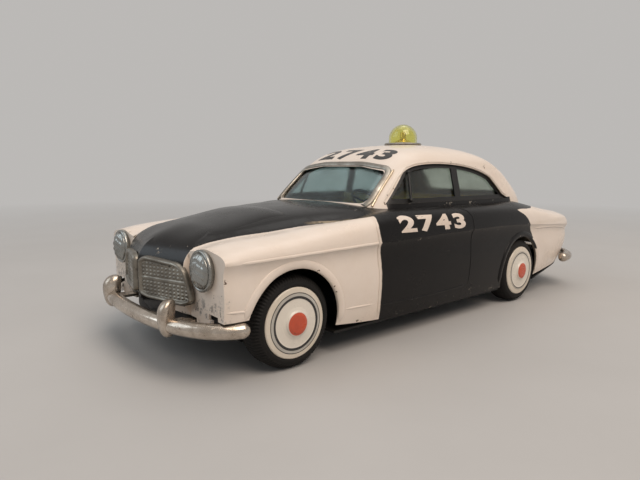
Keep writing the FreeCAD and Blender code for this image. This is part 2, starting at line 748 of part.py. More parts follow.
def grille_wire(shrink, lift):
    inner, across, outward = grille_frame()
    centre_u = sum(u for u, z in GRILLE_OUTLINE) / len(GRILLE_OUTLINE)
    centre_z = sum(z for u, z in GRILLE_OUTLINE) / len(GRILLE_OUTLINE)
    half_u = 11.0
    half_z = 6.0
    points = []
    for u, z in GRILLE_OUTLINE:
        su = centre_u + (u - centre_u) * (1 - shrink / half_u)
        sz = centre_z + (z - centre_z) * (1 - shrink / half_z)
        points.append(inner + across * su + Vector(0, 0, sz) + outward * lift)
    return rounded_outline(points, 1.1)


def make_grille(outer):
    """Left grille half: a raised rim round a sunk field with one bar across it."""
    inner, across, outward = grille_frame()
    plate = prism(grille_wire(0.0, -0.6), outward * (GRILLE_THICKNESS + 0.6))
    field = prism(grille_wire(GRILLE_RIM, GRILLE_THICKNESS - 0.45), outward * 2.0)
    plate = plate.cut(field)
    z = 24.4
    start = inner + across * 2.0 + outward * (GRILLE_THICKNESS - 0.5)
    end = inner + across * 21.0 + outward * (GRILLE_THICKNESS - 0.5)
    bar = rod(0.45, start + Vector(0, 0, z), end + Vector(0, 0, z))
    bar = bar.common(prism(grille_wire(0.3, -0.6), outward * 3.0))
    return plate.fuse(bar).cut(outer)


# ---- bumpers ------------------------------------------------------------------------------
# Half a bar's middle line: (distance from the centre line, distance behind its foremost point).
FRONT_LINE = [
    (HALF_WIDTH - 24.3, 0.8), (HALF_WIDTH - 13.9, 2.9), (HALF_WIDTH - 5.8, 7.4),
    (HALF_WIDTH - 1.6, 13.8),
]
REAR_LINE = [
    (HALF_WIDTH - 24.3, 0.6), (HALF_WIDTH - 16.1, 2.4), (HALF_WIDTH - 7.6, 8.0),
    (HALF_WIDTH - 1.8, 21.5),
]


def bumper_bar(middle_y, line, inward, radius):
    """Round bar: straight across, then bent round the corners to its ends."""
    left = [Vector(x, middle_y + inward * back, BUMPER_HEIGHT) for x, back in line]
    right = [Vector(-p.x, p.y, p.z) for p in reversed(left)]
    path = Part.BSplineCurve()
    path.interpolate(right + [Vector(0, middle_y, BUMPER_HEIGHT)] + left)
    start = path.tangent(path.FirstParameter)[0]
    circle = Part.Wire(Part.makeCircle(radius, right[0], start))
    tube = Part.Wire(path.toShape()).makePipeShell([circle], True, True)
    return tube.fuse([Part.makeSphere(radius, right[0]), Part.makeSphere(radius, left[-1])])


def front_bar(radius):
    return bumper_bar(FRONT_BAR, FRONT_LINE, 1.0, radius)


def rear_bar(radius):
    return bumper_bar(REAR_BAR, REAR_LINE, -1.0, radius)


def bumper_tabs(y0, y1):
    """Flat tabs from the back of the bar to under the end of the base plate."""
    tabs = []
    for side in (-1, 1):
        x = side * TAB_OFFSET
        tabs.append(box(x - TAB_WIDTH / 2, x + TAB_WIDTH / 2, min(y0, y1), max(y0, y1),
                        BUMPER_HEIGHT - TAB_SHEET / 2, BUMPER_HEIGHT + TAB_SHEET / 2))
    return tabs


FRONT_BAR = -FRONT_OVERHANG + BUMPER_RADIUS
REAR_BAR = REAR_AXLE + REAR_OVERHANG - BUMPER_RADIUS


def make_front_bumper():
    return front_bar(BUMPER_RADIUS).fuse(bumper_tabs(FRONT_BAR + 2.6, NOSE + TAB_END))


def make_rear_bumper():
    return rear_bar(BUMPER_RADIUS).fuse(bumper_tabs(REAR_BAR - 2.4, TAIL - 2.4 * TAB_END))


def make_overrider(bar_y, outward, bar):
    """Curved horn in front of the bar, hollowed to clasp it."""
    size = FreeCAD.Matrix()
    size.scale(OVERRIDER_WIDTH / 2, OVERRIDER_DEPTH / 2, OVERRIDER_HEIGHT / 2)
    horn = Part.makeSphere(1.0).transformGeometry(size)
    y = bar_y + outward * (BUMPER_RADIUS - OVERRIDER_BACK - OVERRIDER_DEPTH / 2)
    horn.translate(Vector(OVERRIDER_OFFSET, y, BUMPER_HEIGHT + 1.9))
    cut = bar_y - outward * 3.0
    behind = box(0, LARGE, min(cut, cut - outward * LARGE), max(cut, cut - outward * LARGE), 0, LARGE)
    return horn.cut(behind).cut(bar)


# ---- beacon -------------------------------------------------------------------------------
BEACON_BOLT = 1.5
BEACON_FOOT = ROOF_TOP + FIT_GAP


def beacon_at(z):
    return Vector(0, BEACON_BEHIND_AXLE, z)


def make_beacon_flange():
    """Nickelled dish under the dome, standing on the flat top of the roof."""
    profile = [(BEACON_BOLT + FIT_GAP, 0.0), (BEACON_FLANGE_RADIUS - 0.2, 0.0),
               (BEACON_FLANGE_RADIUS, 0.2), (BEACON_FLANGE_RADIUS, BEACON_FLANGE - 0.35),
               (BEACON_FLANGE_RADIUS - 0.35, BEACON_FLANGE), (BEACON_BOLT + FIT_GAP, BEACON_FLANGE)]
    return turned(profile, beacon_at(BEACON_FOOT), Vector(0, 0, 1))


def make_beacon_dome():
    """Clear coloured dome, hollow, standing on its flange."""
    z = BEACON_FOOT + BEACON_FLANGE
    straight = BEACON_HEIGHT - BEACON_RADIUS - BEACON_FLANGE
    outer = rod(BEACON_RADIUS, beacon_at(z), beacon_at(z + straight))
    outer = outer.fuse(Part.makeSphere(BEACON_RADIUS, beacon_at(z + straight)))
    inside = BEACON_RADIUS - BEACON_WALL
    inner = rod(inside, beacon_at(z), beacon_at(z + straight))
    inner = inner.fuse(Part.makeSphere(inside, beacon_at(z + straight)))
    keep = rod(BEACON_RADIUS + 1, beacon_at(z), beacon_at(z + 2 * BEACON_HEIGHT))
    return outer.cut(inner).common(keep)


def make_beacon_rivet():
    """Rivet that draws the flange down on the roof, with the reflector cone on its head."""
    profile = [(0.0, -1.9), (BEACON_BOLT + 1.2, -1.9), (BEACON_BOLT + 1.2, -1.2),
               (BEACON_BOLT, -1.2), (BEACON_BOLT, BEACON_FLANGE), (3.4, BEACON_FLANGE),
               (3.4, BEACON_FLANGE + 0.5), (1.4, BEACON_FLANGE + 1.6),
               (1.1, BEACON_FLANGE + 4.4), (0.0, BEACON_FLANGE + 4.9)]
    return turned(profile, beacon_at(BEACON_FOOT), Vector(0, 0, 1))


# ---- base plate ---------------------------------------------------------------------------
PAN_END_HEIGHT = BUMPER_HEIGHT + TAB_SHEET / 2 + FIT_GAP
PAN_LINE = [
    (NOSE + WALL + 0.4, PAN_END_HEIGHT), (NOSE + 5.4, PAN_END_HEIGHT), (NOSE + 8.6, 10.0),
    (NOSE + 12, PAN_HEIGHT), (REAR_AXLE + 14, PAN_HEIGHT), (TAIL - 20, 11.2),
    (TAIL - 13.5, PAN_END_HEIGHT), (TAIL - 6.5, PAN_END_HEIGHT),
]


def make_pan():
    """Black base plate: one sheet bent up at both ends, with wheel cut-outs and axle ears."""
    lower = [Vector(-LARGE / 4, y, z) for y, z in PAN_LINE]
    upper = [Vector(-LARGE / 4, y, z + PAN_SHEET) for y, z in reversed(PAN_LINE)]
    sheet = prism(Part.makePolygon(lower + upper + [lower[0]]), Vector(LARGE / 2, 0, 0))
    pan = sheet.common(body_block(-WALL - 2 * FIT_GAP, 6.0))
    well = TYRE_RADIUS + 2.0
    for x0, x1 in ((WHEEL_WELL, LARGE), (-LARGE, -WHEEL_WELL)):
        pan = pan.cut(box(x0, x1, -LARGE, well, 0, 40))
        pan = pan.cut(box(x0, x1, REAR_AXLE - well, REAR_AXLE + well, 0, 40))
        pan = pan.cut(box(x0, x1, TAIL - 18, LARGE, 0, 40))
    for y in (0.0, REAR_AXLE):
        for side in (-1, 1):
            pan = pan.fuse(axle_ear(y, side))
    slot = outer_radius(GEAR_TEETH) + 1.0
    pan = pan.cut(box(DRIVE_AT - 1.0, DRIVE_AT + GEAR_WIDTH + 1.0, REAR_AXLE - slot,
                      REAR_AXLE + slot, 0, PAN_HEIGHT + 2))
    return pan.removeSplitter()


def axle_ear(y, side):
    x0 = EAR_OFFSET if side > 0 else -EAR_OFFSET - EAR_SHEET
    foot = PAN_HEIGHT + PAN_SHEET / 2
    top = TYRE_RADIUS + EAR_TOP
    half = EAR_LENGTH / 2
    ear = box(x0, x0 + EAR_SHEET, y - half, y + half, foot, TYRE_RADIUS)
    ear = ear.fuse(rod(half, Vector(x0, y, TYRE_RADIUS), Vector(x0 + EAR_SHEET, y, TYRE_RADIUS)))
    ear = ear.cut(box(-LARGE, LARGE, -LARGE, LARGE, top, LARGE))
    ear = ear.cut(box(-LARGE, LARGE, -LARGE, LARGE, -LARGE, foot))
    hole = rod(AXLE_RADIUS + RUNNING, Vector(x0 - 1, y, TYRE_RADIUS),
               Vector(x0 + EAR_SHEET + 1, y, TYRE_RADIUS))
    return ear.cut(hole)


# ---- wheels -------------------------------------------------------------------------------
def wheel_at(y, side):
    return Vector(side * WHEEL_FACE, y, TYRE_RADIUS)


def make_tyre(y, side):
    """Rubber tyre with rounded shoulders, on its hub; local height runs inwards."""
    r = TYRE_RADIUS
    w = TYRE_WIDTH
    profile = [(TYRE_BORE, 0.5), (DISC_RADIUS + 0.05, 0.5), (DISC_RADIUS + 0.3, 0.15), (r - 2.2, 0.25),
               (r - 1.1, 0.7), (r - 0.35, 1.5), (r, 2.7), (r, w - 2.4), (r - 0.4, w - 1.1),
               (r - 1.3, w - 0.3), (r - 2.4, w), (TYRE_BORE, w)]
    return turned(profile, wheel_at(y, side), Vector(-side, 0, 0))


def make_disc(y, side):
    """Printed tin disc that closes the wheel: flat rim, dished ring and raised middle."""
    r = DISC_RADIUS
    front = [(r, 0.25), (r - 0.25, 0.0), (r - 2.6, -0.35), (r - 3.4, -0.2), (RED_RADIUS + 1.2, -0.35),
             (RED_RADIUS + 0.4, -0.6), (RED_RADIUS, -RED_RISE + 0.25),
             (RED_RADIUS - 0.9, -RED_RISE), (0.0, -RED_RISE - 0.05)]
    back = [(0.0, 0.5), (r, 0.5)]
    return turned(front + back, wheel_at(y, side), Vector(-side, 0, 0))


def make_hub(y, side):
    """Wheel core, pressed on the axle's end."""
    w = TYRE_WIDTH
    profile = [(AXLE_RADIUS, 1.6), (TYRE_BORE - 1.4, 1.6), (TYRE_BORE - 1.4, 0.5), (TYRE_BORE, 0.5),
               (TYRE_BORE, w - 0.4), (TYRE_BORE - 1.0, w - 0.4), (TYRE_BORE - 1.6, w - 2.4),
               (3.4, w - 2.4), (3.2, w + 0.8), (AXLE_RADIUS, w + 0.8)]
    return turned(profile, wheel_at(y, side), Vector(-side, 0, 0))


def make_axle(y):
    reach = WHEEL_FACE - 1.6
    return rod(AXLE_RADIUS, Vector(-reach, y, TYRE_RADIUS), Vector(reach, y, TYRE_RADIUS))


# ---- friction motor -----------------------------------------------------------------------
DRIVE_AT = 2.0           # left face of the gear on the axle
SECOND_AT = -4.4         # left face of the gear on the idler
IDLER_ANGLE = 52.0       # rise of the line from the axle to the idler
FLYWHEEL_ANGLE = 38.0    # rise of the line from the idler to the flywheel


def pitch_radius(teeth):
    return GEAR_MODULE * teeth / 2.0


def outer_radius(teeth):
    return pitch_radius(teeth) + 0.7 * GEAR_MODULE


def root_radius(teeth):
    return pitch_radius(teeth) - 1.15 * GEAR_MODULE


def shaft_distance():
    return pitch_radius(GEAR_TEETH) + pitch_radius(PINION_TEETH) + MESH_SLACK


def idler_centre():
    a = math.radians(IDLER_ANGLE)
    return Vector(0, REAR_AXLE - shaft_distance() * math.cos(a),
                  TYRE_RADIUS + shaft_distance() * math.sin(a))


def flywheel_centre():
    a = math.radians(FLYWHEEL_ANGLE)
    return idler_centre() + Vector(0, -shaft_distance() * math.cos(a),
                                   shaft_distance() * math.sin(a))


def involute_angle(radius, base):
    t = math.sqrt(max((radius / base) ** 2 - 1.0, 0.0))
    return t - math.atan(t)


def gear(teeth, width, x, centre, phase):
    """Spur gear with involute flanks, thinned for backlash; a tooth points along phase."""
    pitch = pitch_radius(teeth)
    base = pitch * math.cos(math.radians(20.0))
    tip = outer_radius(teeth)
    root = root_radius(teeth)
    half_at_pitch = math.pi / (2.0 * teeth) - BACKLASH / (2.0 * pitch)
    radii = [max(base, root) + (tip - max(base, root)) * k / 4.0 for k in range(5)]
    points = []
    for n in range(teeth):
        middle = phase + 2.0 * math.pi * n / teeth
        flank = []
        for r in radii:
            half = half_at_pitch + involute_angle(pitch, base) - involute_angle(r, base)
            flank.append((r, half))
        foot = flank[0][1]
        rising = [(root, foot)] + flank
        if base <= root:
            rising = flank
        for r, half in rising:
            points.append((r, middle - half))
        for r, half in reversed(rising):
            points.append((r, middle + half))
    ring = []
    for r, a in points:
        ring.append(Vector(x, centre.y + r * math.cos(a), centre.z + r * math.sin(a)))
    return prism(Part.makePolygon(ring + [ring[0]]), Vector(width, 0, 0))


def mesh_phases():
    """Tooth directions that put each pair in mesh at rest."""
    to_idler = math.atan2(idler_centre().z - TYRE_RADIUS, idler_centre().y - REAR_AXLE)
    step = idler_centre()
    to_fly = math.atan2(flywheel_centre().z - step.z, flywheel_centre().y - step.y)
    half_pinion = math.pi / PINION_TEETH
    return to_idler, to_idler + math.pi + half_pinion, to_fly, to_fly + math.pi + half_pinion


def shaft(centre, radius, x0, x1):
    return rod(radius, Vector(x0, centre.y, centre.z), Vector(x1, centre.y, centre.z))


def axle_centre():
    return Vector(0, REAR_AXLE, TYRE_RADIUS)


def make_drive_gear():
    phase = mesh_phases()[0]
    wheel = gear(GEAR_TEETH, GEAR_WIDTH, DRIVE_AT, axle_centre(), phase)
    boss = shaft(axle_centre(), 2.4, DRIVE_AT + GEAR_WIDTH, DRIVE_AT + GEAR_WIDTH + 1.6)
    hole = shaft(axle_centre(), AXLE_RADIUS, DRIVE_AT - 1, DRIVE_AT + GEAR_WIDTH + 3)
    return wheel.fuse(boss).cut(hole)


def make_idler():
    """Idler shaft with the small pinion driven by the axle and the wheel that drives the flywheel."""
    centre = idler_centre()
    end = MOTOR_HALF_WIDTH + MOTOR_PLATE
    phases = mesh_phases()
    pinion_x = DRIVE_AT - (PINION_WIDTH - GEAR_WIDTH) / 2
    piece = shaft(centre, SHAFT_RADIUS, -end, end)
    piece = piece.fuse(gear(PINION_TEETH, PINION_WIDTH, pinion_x, centre, phases[1]))
    piece = piece.fuse(gear(GEAR_TEETH, GEAR_WIDTH, SECOND_AT, centre, phases[2]))
    return piece


def make_flywheel():
    """Flywheel outside the left plate, on the shaft of its pinion."""
    centre = flywheel_centre()
    start = -MOTOR_HALF_WIDTH - MOTOR_PLATE
    outside = MOTOR_HALF_WIDTH + MOTOR_PLATE + SEAT_GAP
    pinion_x = SECOND_AT - (PINION_WIDTH - GEAR_WIDTH) / 2
    piece = shaft(centre, SHAFT_RADIUS, start, outside + FLYWHEEL_WIDTH + 0.8)
    piece = piece.fuse(gear(PINION_TEETH, PINION_WIDTH, pinion_x, centre, mesh_phases()[3]))
    disc = shaft(centre, FLYWHEEL_RADIUS, outside, outside + FLYWHEEL_WIDTH)
    dish = shaft(centre, FLYWHEEL_RADIUS - 2.2, outside + FLYWHEEL_WIDTH - 1.2,
                 outside + FLYWHEEL_WIDTH + 1)
    hub = shaft(centre, 2.4, outside, outside + FLYWHEEL_WIDTH + 0.4)
    return piece.fuse(disc.cut(dish)).fuse(hub)


def pillar_places():
    centre = flywheel_centre()
    return [
        (REAR_AXLE - 21.0, PAN_HEIGHT + 6.0),
        (centre.y - 9.5, centre.z + 1.0),
        (REAR_AXLE + 9.5, TYRE_RADIUS + 8.5),
    ]


def make_motor_plate(side):
    """Side plate with bearing holes and a foot bent outwards on the base plate."""
    foot = PAN_HEIGHT + PAN_SHEET
    centre = flywheel_centre()
    outline = [
        Vector(0, REAR_AXLE - 24.5, foot), Vector(0, REAR_AXLE + 13.0, foot),
        Vector(0, REAR_AXLE + 13.0, TYRE_RADIUS + 12.0), Vector(0, REAR_AXLE + 4, TYRE_RADIUS + 12.5),
        Vector(0, centre.y + 4.5, centre.z + 5.0), Vector(0, centre.y - 13.0, centre.z + 5.0),
    ]
    x0 = MOTOR_HALF_WIDTH if side > 0 else -MOTOR_HALF_WIDTH - MOTOR_PLATE
    wire = rounded_outline(outline, 2.0)
    plate = prism(wire, Vector(MOTOR_PLATE, 0, 0))
    plate.translate(Vector(x0, 0, 0))
    flange_x0 = MOTOR_HALF_WIDTH if side > 0 else -MOTOR_HALF_WIDTH - MOTOR_FOOT
    flange = box(flange_x0, flange_x0 + MOTOR_FOOT, REAR_AXLE - 22.0, REAR_AXLE - 8.5, foot,
                 foot + MOTOR_PLATE)
    plate = plate.fuse(flange)
    for middle, radius in bearing_places():
        plate = plate.cut(shaft(middle, radius + RUNNING, x0 - 1, x0 + MOTOR_PLATE + 1))
    return plate.removeSplitter()


def bearing_places():
    return [(axle_centre(), AXLE_RADIUS), (idler_centre(), SHAFT_RADIUS),
            (flywheel_centre(), SHAFT_RADIUS)]


def make_pillars():
    pillars = []
    for y, z in pillar_places():
        pillars.append(shaft(Vector(0, y, z), PILLAR_RADIUS, -MOTOR_HALF_WIDTH, MOTOR_HALF_WIDTH))
    return Part.makeCompound(pillars)


# ---- inside of the cabin ------------------------------------------------------------------
TRAY_FLOOR = 35.4
TRAY_HALF_WIDTH = 27.0
TRAY_FRONT = 45.0
TRAY_REAR = 125.0
TRAY_SHEET = 0.6
TRAY_FLANGE = 2.6
SEAT_HALF_WIDTH = 24.0
SEAT_HEIGHT = 39.0
SEAT_BACK = 44.6
FRONT_SEAT = 63.0
REAR_SEAT = 98.0
DASHBOARD_HALF_WIDTH = 23.5
STEERING_OFFSET = 12.0
STEERING_RADIUS = 6.2
STEERING_RIM = 0.55


def make_tray():
    """Inner tray of gold-lacquered sheet, hung under the body's ledge."""
    top = BELT - WALL - 0.35
    x = TRAY_HALF_WIDTH
    tub = box(-x, x, TRAY_FRONT, TRAY_REAR, TRAY_FLOOR, top)
    tub = tub.cut(box(-x + TRAY_SHEET, x - TRAY_SHEET, TRAY_FRONT + TRAY_SHEET,
                      TRAY_REAR - TRAY_SHEET, TRAY_FLOOR + TRAY_SHEET, top + 1))
    for side in (-1, 1):
        x0 = x - TRAY_SHEET if side > 0 else -x - TRAY_FLANGE
        x1 = x + TRAY_FLANGE if side > 0 else -x + TRAY_SHEET
        tub = tub.fuse(box(x0, x1, TRAY_FRONT + 4, TRAY_REAR - 8, top - TRAY_SHEET, top))
    return tub.removeSplitter()


def make_seat(y, depth, back_height):
    """Bench seat pressed from one sheet, modelled as a closed form on the tray."""
    floor = TRAY_FLOOR + TRAY_SHEET
    outline = [
        Vector(-SEAT_HALF_WIDTH, y, floor), Vector(-SEAT_HALF_WIDTH, y, SEAT_HEIGHT + 0.4),
        Vector(-SEAT_HALF_WIDTH, y + depth, SEAT_HEIGHT - 0.4),
        Vector(-SEAT_HALF_WIDTH, y + depth + 1.6, back_height),
        Vector(-SEAT_HALF_WIDTH, y + depth + 4.2, back_height),
        Vector(-SEAT_HALF_WIDTH, y + depth + 3.4, floor),
    ]
    return prism(rounded_outline(outline, 0.9), Vector(2 * SEAT_HALF_WIDTH, 0, 0))


def make_dashboard():
    """Dark rail under the windscreen, across the tray's front end."""
    top = BELT + 0.9
    x = -DASHBOARD_HALF_WIDTH
    y0 = TRAY_FRONT + TRAY_SHEET
    outline = [
        Vector(x, y0, TRAY_FLOOR + TRAY_SHEET), Vector(x, y0, top), Vector(x, y0 + 2.2, top),
        Vector(x, y0 + 3.4, top - 2.4), Vector(x, y0 + 2.6, TRAY_FLOOR + TRAY_SHEET),
    ]
    return prism(rounded_outline(outline, 0.5), Vector(2 * DASHBOARD_HALF_WIDTH, 0, 0))


def steering_line():
    """Foot and head of the steering column."""
    foot = Vector(STEERING_OFFSET, TRAY_FRONT + TRAY_SHEET + 3.0, BELT - 3.2)
    head = Vector(STEERING_OFFSET, TRAY_FRONT + TRAY_SHEET + 7.0, BELT + 0.6)
    return foot, head


def make_steering_column(dashboard):
    foot, head = steering_line()
    return rod(0.8, foot - (head - foot) * 0.3, head).cut(dashboard)


def make_steering_wheel():
    foot, head = steering_line()
    axis = (head - foot).normalize()
    ring = Part.makeTorus(STEERING_RADIUS, STEERING_RIM)
    hub = Part.makeCylinder(1.5, 1.0, Vector(0, 0, -0.5))
    wheel = ring.fuse(hub)
    for angle in (90, 210, 330):
        spoke = rod(0.4, Vector(1.0, 0, 0), Vector(STEERING_RADIUS, 0, 0))
        spoke.rotate(Vector(0, 0, 0), Vector(0, 0, 1), angle)
        wheel = wheel.fuse(spoke)
    wheel.Placement = FreeCAD.Placement(head + axis * 0.5, FreeCAD.Rotation(Vector(0, 0, 1), axis))
    return wheel


# ---- assembly -----------------------------------------------------------------------------
def export(name, shape):
    """Writes one piece, moved so that the origin lies under the car's middle."""
    placed = shape.copy()
    placed.translate(Vector(0, -MIDDLE, 0))
    placed.exportStep("parts/" + name + ".step")


def export_pair(name, shape):
    export(name + "_left", shape)
    export(name + "_right", mirrored(shape))


def main():
    os.makedirs("parts", exist_ok=True)
    outer = body_block(0.0, 0.0)
    export("body_shell", make_body(outer))
    export("roof_shell", make_roof(outer))
    export("base_plate", make_pan())
    export("windscreen_trim", make_screen_trim(True, outer))
    export("windscreen", make_screen(True, outer))
    export("backlight_trim", make_screen_trim(False, outer))
    export("backlight", make_screen(False, outer))
    export_pair("side_frame", make_side_frame(outer))
    export_pair("side_glass", make_side_glass(outer))
    export_pair("vent_post", make_vent_post())
    export_pair("headlamp", make_headlamp())
    export_pair("tail_lamp", make_tail_lamp().cut(outer))
    export_pair("grille", make_grille(outer))

    clasp = BUMPER_RADIUS + FIT_GAP / 2
    export("front_bumper", make_front_bumper())
    export("rear_bumper", make_rear_bumper())
    export_pair("front_overrider", make_overrider(FRONT_BAR, -1, front_bar(clasp)))
    export_pair("rear_overrider", make_overrider(REAR_BAR, 1, rear_bar(clasp)))

    export("beacon_flange", make_beacon_flange())
    export("beacon_dome", make_beacon_dome())
    export("beacon_rivet", make_beacon_rivet())

    export("interior_tray", make_tray())
    export("front_seat", make_seat(FRONT_SEAT, 11.0, SEAT_BACK))
    export("rear_seat", make_seat(REAR_SEAT, 12.0, SEAT_BACK - 0.6))
    dashboard = make_dashboard()
    export("dashboard", dashboard)
    export("steering_column", make_steering_column(dashboard))
    export("steering_wheel", make_steering_wheel())

    for end, y in (("front", 0.0), ("rear", REAR_AXLE)):
        export(end + "_axle", make_axle(y))
        for name, side in (("left", 1), ("right", -1)):
            place = "_" + end + "_" + name
            export("tyre" + place, make_tyre(y, side))
            export("wheel_disc" + place, make_disc(y, side))
            export("wheel_hub" + place, make_hub(y, side))

    export("motor_plate_left", make_motor_plate(1))
    export("motor_plate_right", make_motor_plate(-1))
    export("motor_pillars", make_pillars())
    export("drive_gear", make_drive_gear())
    export("idler", make_idler())
    export("flywheel", make_flywheel())


main()
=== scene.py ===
import json
import math

import bmesh
import bpy
from mathutils import Matrix, Vector
from mathutils.bvhtree import BVHTree


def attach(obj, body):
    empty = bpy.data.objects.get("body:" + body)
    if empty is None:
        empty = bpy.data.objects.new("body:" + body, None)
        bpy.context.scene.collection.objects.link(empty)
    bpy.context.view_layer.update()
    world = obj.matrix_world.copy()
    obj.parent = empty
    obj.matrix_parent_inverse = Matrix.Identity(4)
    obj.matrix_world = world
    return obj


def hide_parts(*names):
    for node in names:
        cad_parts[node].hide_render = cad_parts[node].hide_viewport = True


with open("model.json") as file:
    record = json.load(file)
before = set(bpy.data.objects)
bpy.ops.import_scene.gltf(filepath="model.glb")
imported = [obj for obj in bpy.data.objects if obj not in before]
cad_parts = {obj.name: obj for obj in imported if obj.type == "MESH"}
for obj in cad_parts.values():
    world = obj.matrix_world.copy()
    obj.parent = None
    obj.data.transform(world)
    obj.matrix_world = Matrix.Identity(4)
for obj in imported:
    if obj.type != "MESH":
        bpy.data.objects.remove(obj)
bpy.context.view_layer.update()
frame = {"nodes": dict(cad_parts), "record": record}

# Toy police car. Lengths are written in millimetres with the front axle at y = 0, and place()
# turns them into the frame's metres. The nose points to -Y and the car's left side to +X.
MM = 0.001
PER_METRE = 1000.0
MIDDLE = 75.5  # front axle to the frame's origin
REAR_AXLE = 120.0  # front axle to rear axle
WHEEL_HEIGHT = 13.2  # floor to the axles
ARCH_HEIGHT = 12.7  # floor to the middle of the wheel arches
ARCH_RADIUS = {"front": 15.7, "rear": 14.8}
AXLES = {"front": 0.0, "rear": REAR_AXLE}
SIDES = (("left", 1), ("right", -1))
Y_AXIS = Vector((0, 1, 0))
Z_AXIS = Vector((0, 0, 1))
nodes = frame["nodes"]
scene = bpy.context.scene


def place(x, y, z):
    return Vector((x, y - MIDDLE, z)) * MM


# ---- camera ----
AZIMUTH = math.radians(49.28)
ELEVATION = math.radians(7.74)
ROLL = math.radians(0.35)
CAMERA_SPOT = Vector((145.86, -160.59, 54.96)) * MM
FOCAL_PIXELS = 520.78
IMAGE_PIXELS = 640.0  # width of the picture
SENSOR = 36.0
NEAREST = 0.01  # metres


def make_camera():
    """Camera at the photograph's angle and distance."""
    back = Vector((math.sin(AZIMUTH) * math.cos(ELEVATION),
                   -math.cos(AZIMUTH) * math.cos(ELEVATION), math.sin(ELEVATION)))
    level = (-back).cross(Z_AXIS).normalized()
    upright = level.cross(-back)
    right = level * math.cos(ROLL) + upright * math.sin(ROLL)
    up = upright * math.cos(ROLL) - level * math.sin(ROLL)
    data = bpy.data.cameras.new("camera")
    data.sensor_width = SENSOR
    data.lens = FOCAL_PIXELS / IMAGE_PIXELS * SENSOR
    data.clip_start = NEAREST
    camera = bpy.data.objects.new("camera", data)
    turn = Matrix((right, up, back)).transposed().to_4x4()
    camera.matrix_world = Matrix.Translation(CAMERA_SPOT) @ turn
    scene.collection.objects.link(camera)
    scene.camera = camera


make_camera()

# ---- materials ----
class Net:
    """A node material: short calls that add nodes and return their output sockets."""

    def __init__(self, name):
        self.material = bpy.data.materials.new(name)
        self.material.use_nodes = True
        self.tree = self.material.node_tree
        self.tree.nodes.clear()
        self.out = self.add("OutputMaterial")

    def add(self, kind):
        return self.tree.nodes.new("ShaderNode" + kind)

    def feed(self, socket, value):
        if isinstance(value, bpy.types.NodeSocket):
            self.tree.links.new(value, socket)
        elif isinstance(value, (tuple, list)) and len(value) == 3 and socket.type == "RGBA":
            socket.default_value = (*value, 1.0)
        else:
            socket.default_value = value

    def maths(self, kind, *values):
        node = self.add("Math")
        node.operation = kind
        for socket, value in zip(node.inputs, values):
            self.feed(socket, value)
        return node.outputs[0]

    def times(self, first, *others):
        for other in others:
            first = self.maths("MULTIPLY", first, other)
        return first

    def most(self, first, *others):
        for other in others:
            first = self.maths("MAXIMUM", first, other)
        return first

    def plus(self, a, b):
        return self.maths("ADD", a, b)

    def minus(self, a, b):
        return self.maths("SUBTRACT", a, b)

    def rest(self, value):
        """What is missing to 1."""
        return self.minus(1.0, value)

    def scaled(self, value, factor, offset):
        return self.maths("MULTIPLY_ADD", value, factor, offset)

    def away(self, a, b):
        """Length of two legs at a right angle."""
        return self.maths("SQRT", self.plus(self.times(a, a), self.times(b, b)))

    def above(self, value, low, high, to_low=0.0, to_high=1.0):
        """Value moved from one range to another, held at its ends: 0 below and 1 above."""
        node = self.add("MapRange")
        node.clamp = True
        for socket, given in zip(node.inputs, (value, low, high, to_low, to_high)):
            self.feed(socket, given)
        return node.outputs[0]

    def below(self, value, low, high):
        """1 below a range, 0 above it."""
        return self.above(value, low, high, 1.0, 0.0)

    def band(self, value, low, high, edge):
        """1 between two places along one axis, 0 outside; edge is half of a soft border."""
        rise = self.above(value, low - edge, low + edge)
        return self.times(rise, self.below(value, high - edge, high + edge))

    def mix(self, share, a, b):
        node = self.add("Mix")
        node.data_type = "RGBA"
        for socket, value in ((0, share), (6, a), (7, b)):
            self.feed(node.inputs[socket], value)
        return node.outputs[2]

    def object_place(self):
        return self.add("TexCoord").outputs["Object"]

    def split(self, vector):
        node = self.add("SeparateXYZ")
        self.feed(node.inputs[0], vector)
        return node.outputs

    def car_place(self):
        """Millimetres from the middle plane, behind the front axle and over the floor."""
        x, y, z = self.split(self.object_place())
        across = self.maths("ABSOLUTE", self.times(x, PER_METRE))
        return across, self.scaled(y, PER_METRE, MIDDLE), self.times(z, PER_METRE)

    def stretched_place(self, across, high):
        """Object place with two axes packed closer, which draws a texture out along the car."""
        x, y, z = self.split(self.object_place())
        node = self.add("CombineXYZ")
        for socket, value in zip(node.inputs, (self.times(x, across), y, self.times(z, high))):
            self.feed(socket, value)
        return node.outputs[0]

    def noise(self, scale, detail=3.0, roughness=0.55, vector=None, distortion=0.0):
        node = self.add("TexNoise")
        values = {"Vector": vector or self.object_place(), "Scale": scale, "Detail": detail,
                  "Roughness": roughness, "Distortion": distortion}
        for name, value in values.items():
            self.feed(node.inputs[name], value)
        return node.outputs[0]

    def curve(self, value, points, low, high):
        """Smooth curve through (place, value) points; both axes are first brought to 0..1."""
        start = points[0][0]
        end = points[-1][0]
        node = self.add("FloatCurve")
        line = node.mapping.curves[0]
        while len(line.points) < len(points):
            line.points.new(0.5, 0.5)
        for dot, (a, b) in zip(line.points, points):
            dot.location = ((a - start) / (end - start), (b - low) / (high - low))
        node.mapping.update()
        self.feed(node.inputs["Value"], self.above(value, start, end))
        return self.scaled(node.outputs[0], high - low, low)

    def bump(self, height, strength):
        node = self.add("Bump")
        for name, value in (("Strength", strength), ("Distance", MM * 0.2), ("Height", height)):
            self.feed(node.inputs[name], value)
        return node.outputs[0]

    def shader(self, **values):
        node = self.add("BsdfPrincipled")
        for name, value in values.items():
            self.feed(node.inputs[name.replace("_", " ").title().replace("Ior", "IOR")], value)
        self.tree.links.new(node.outputs[0], self.out.inputs[0])
        return self.material


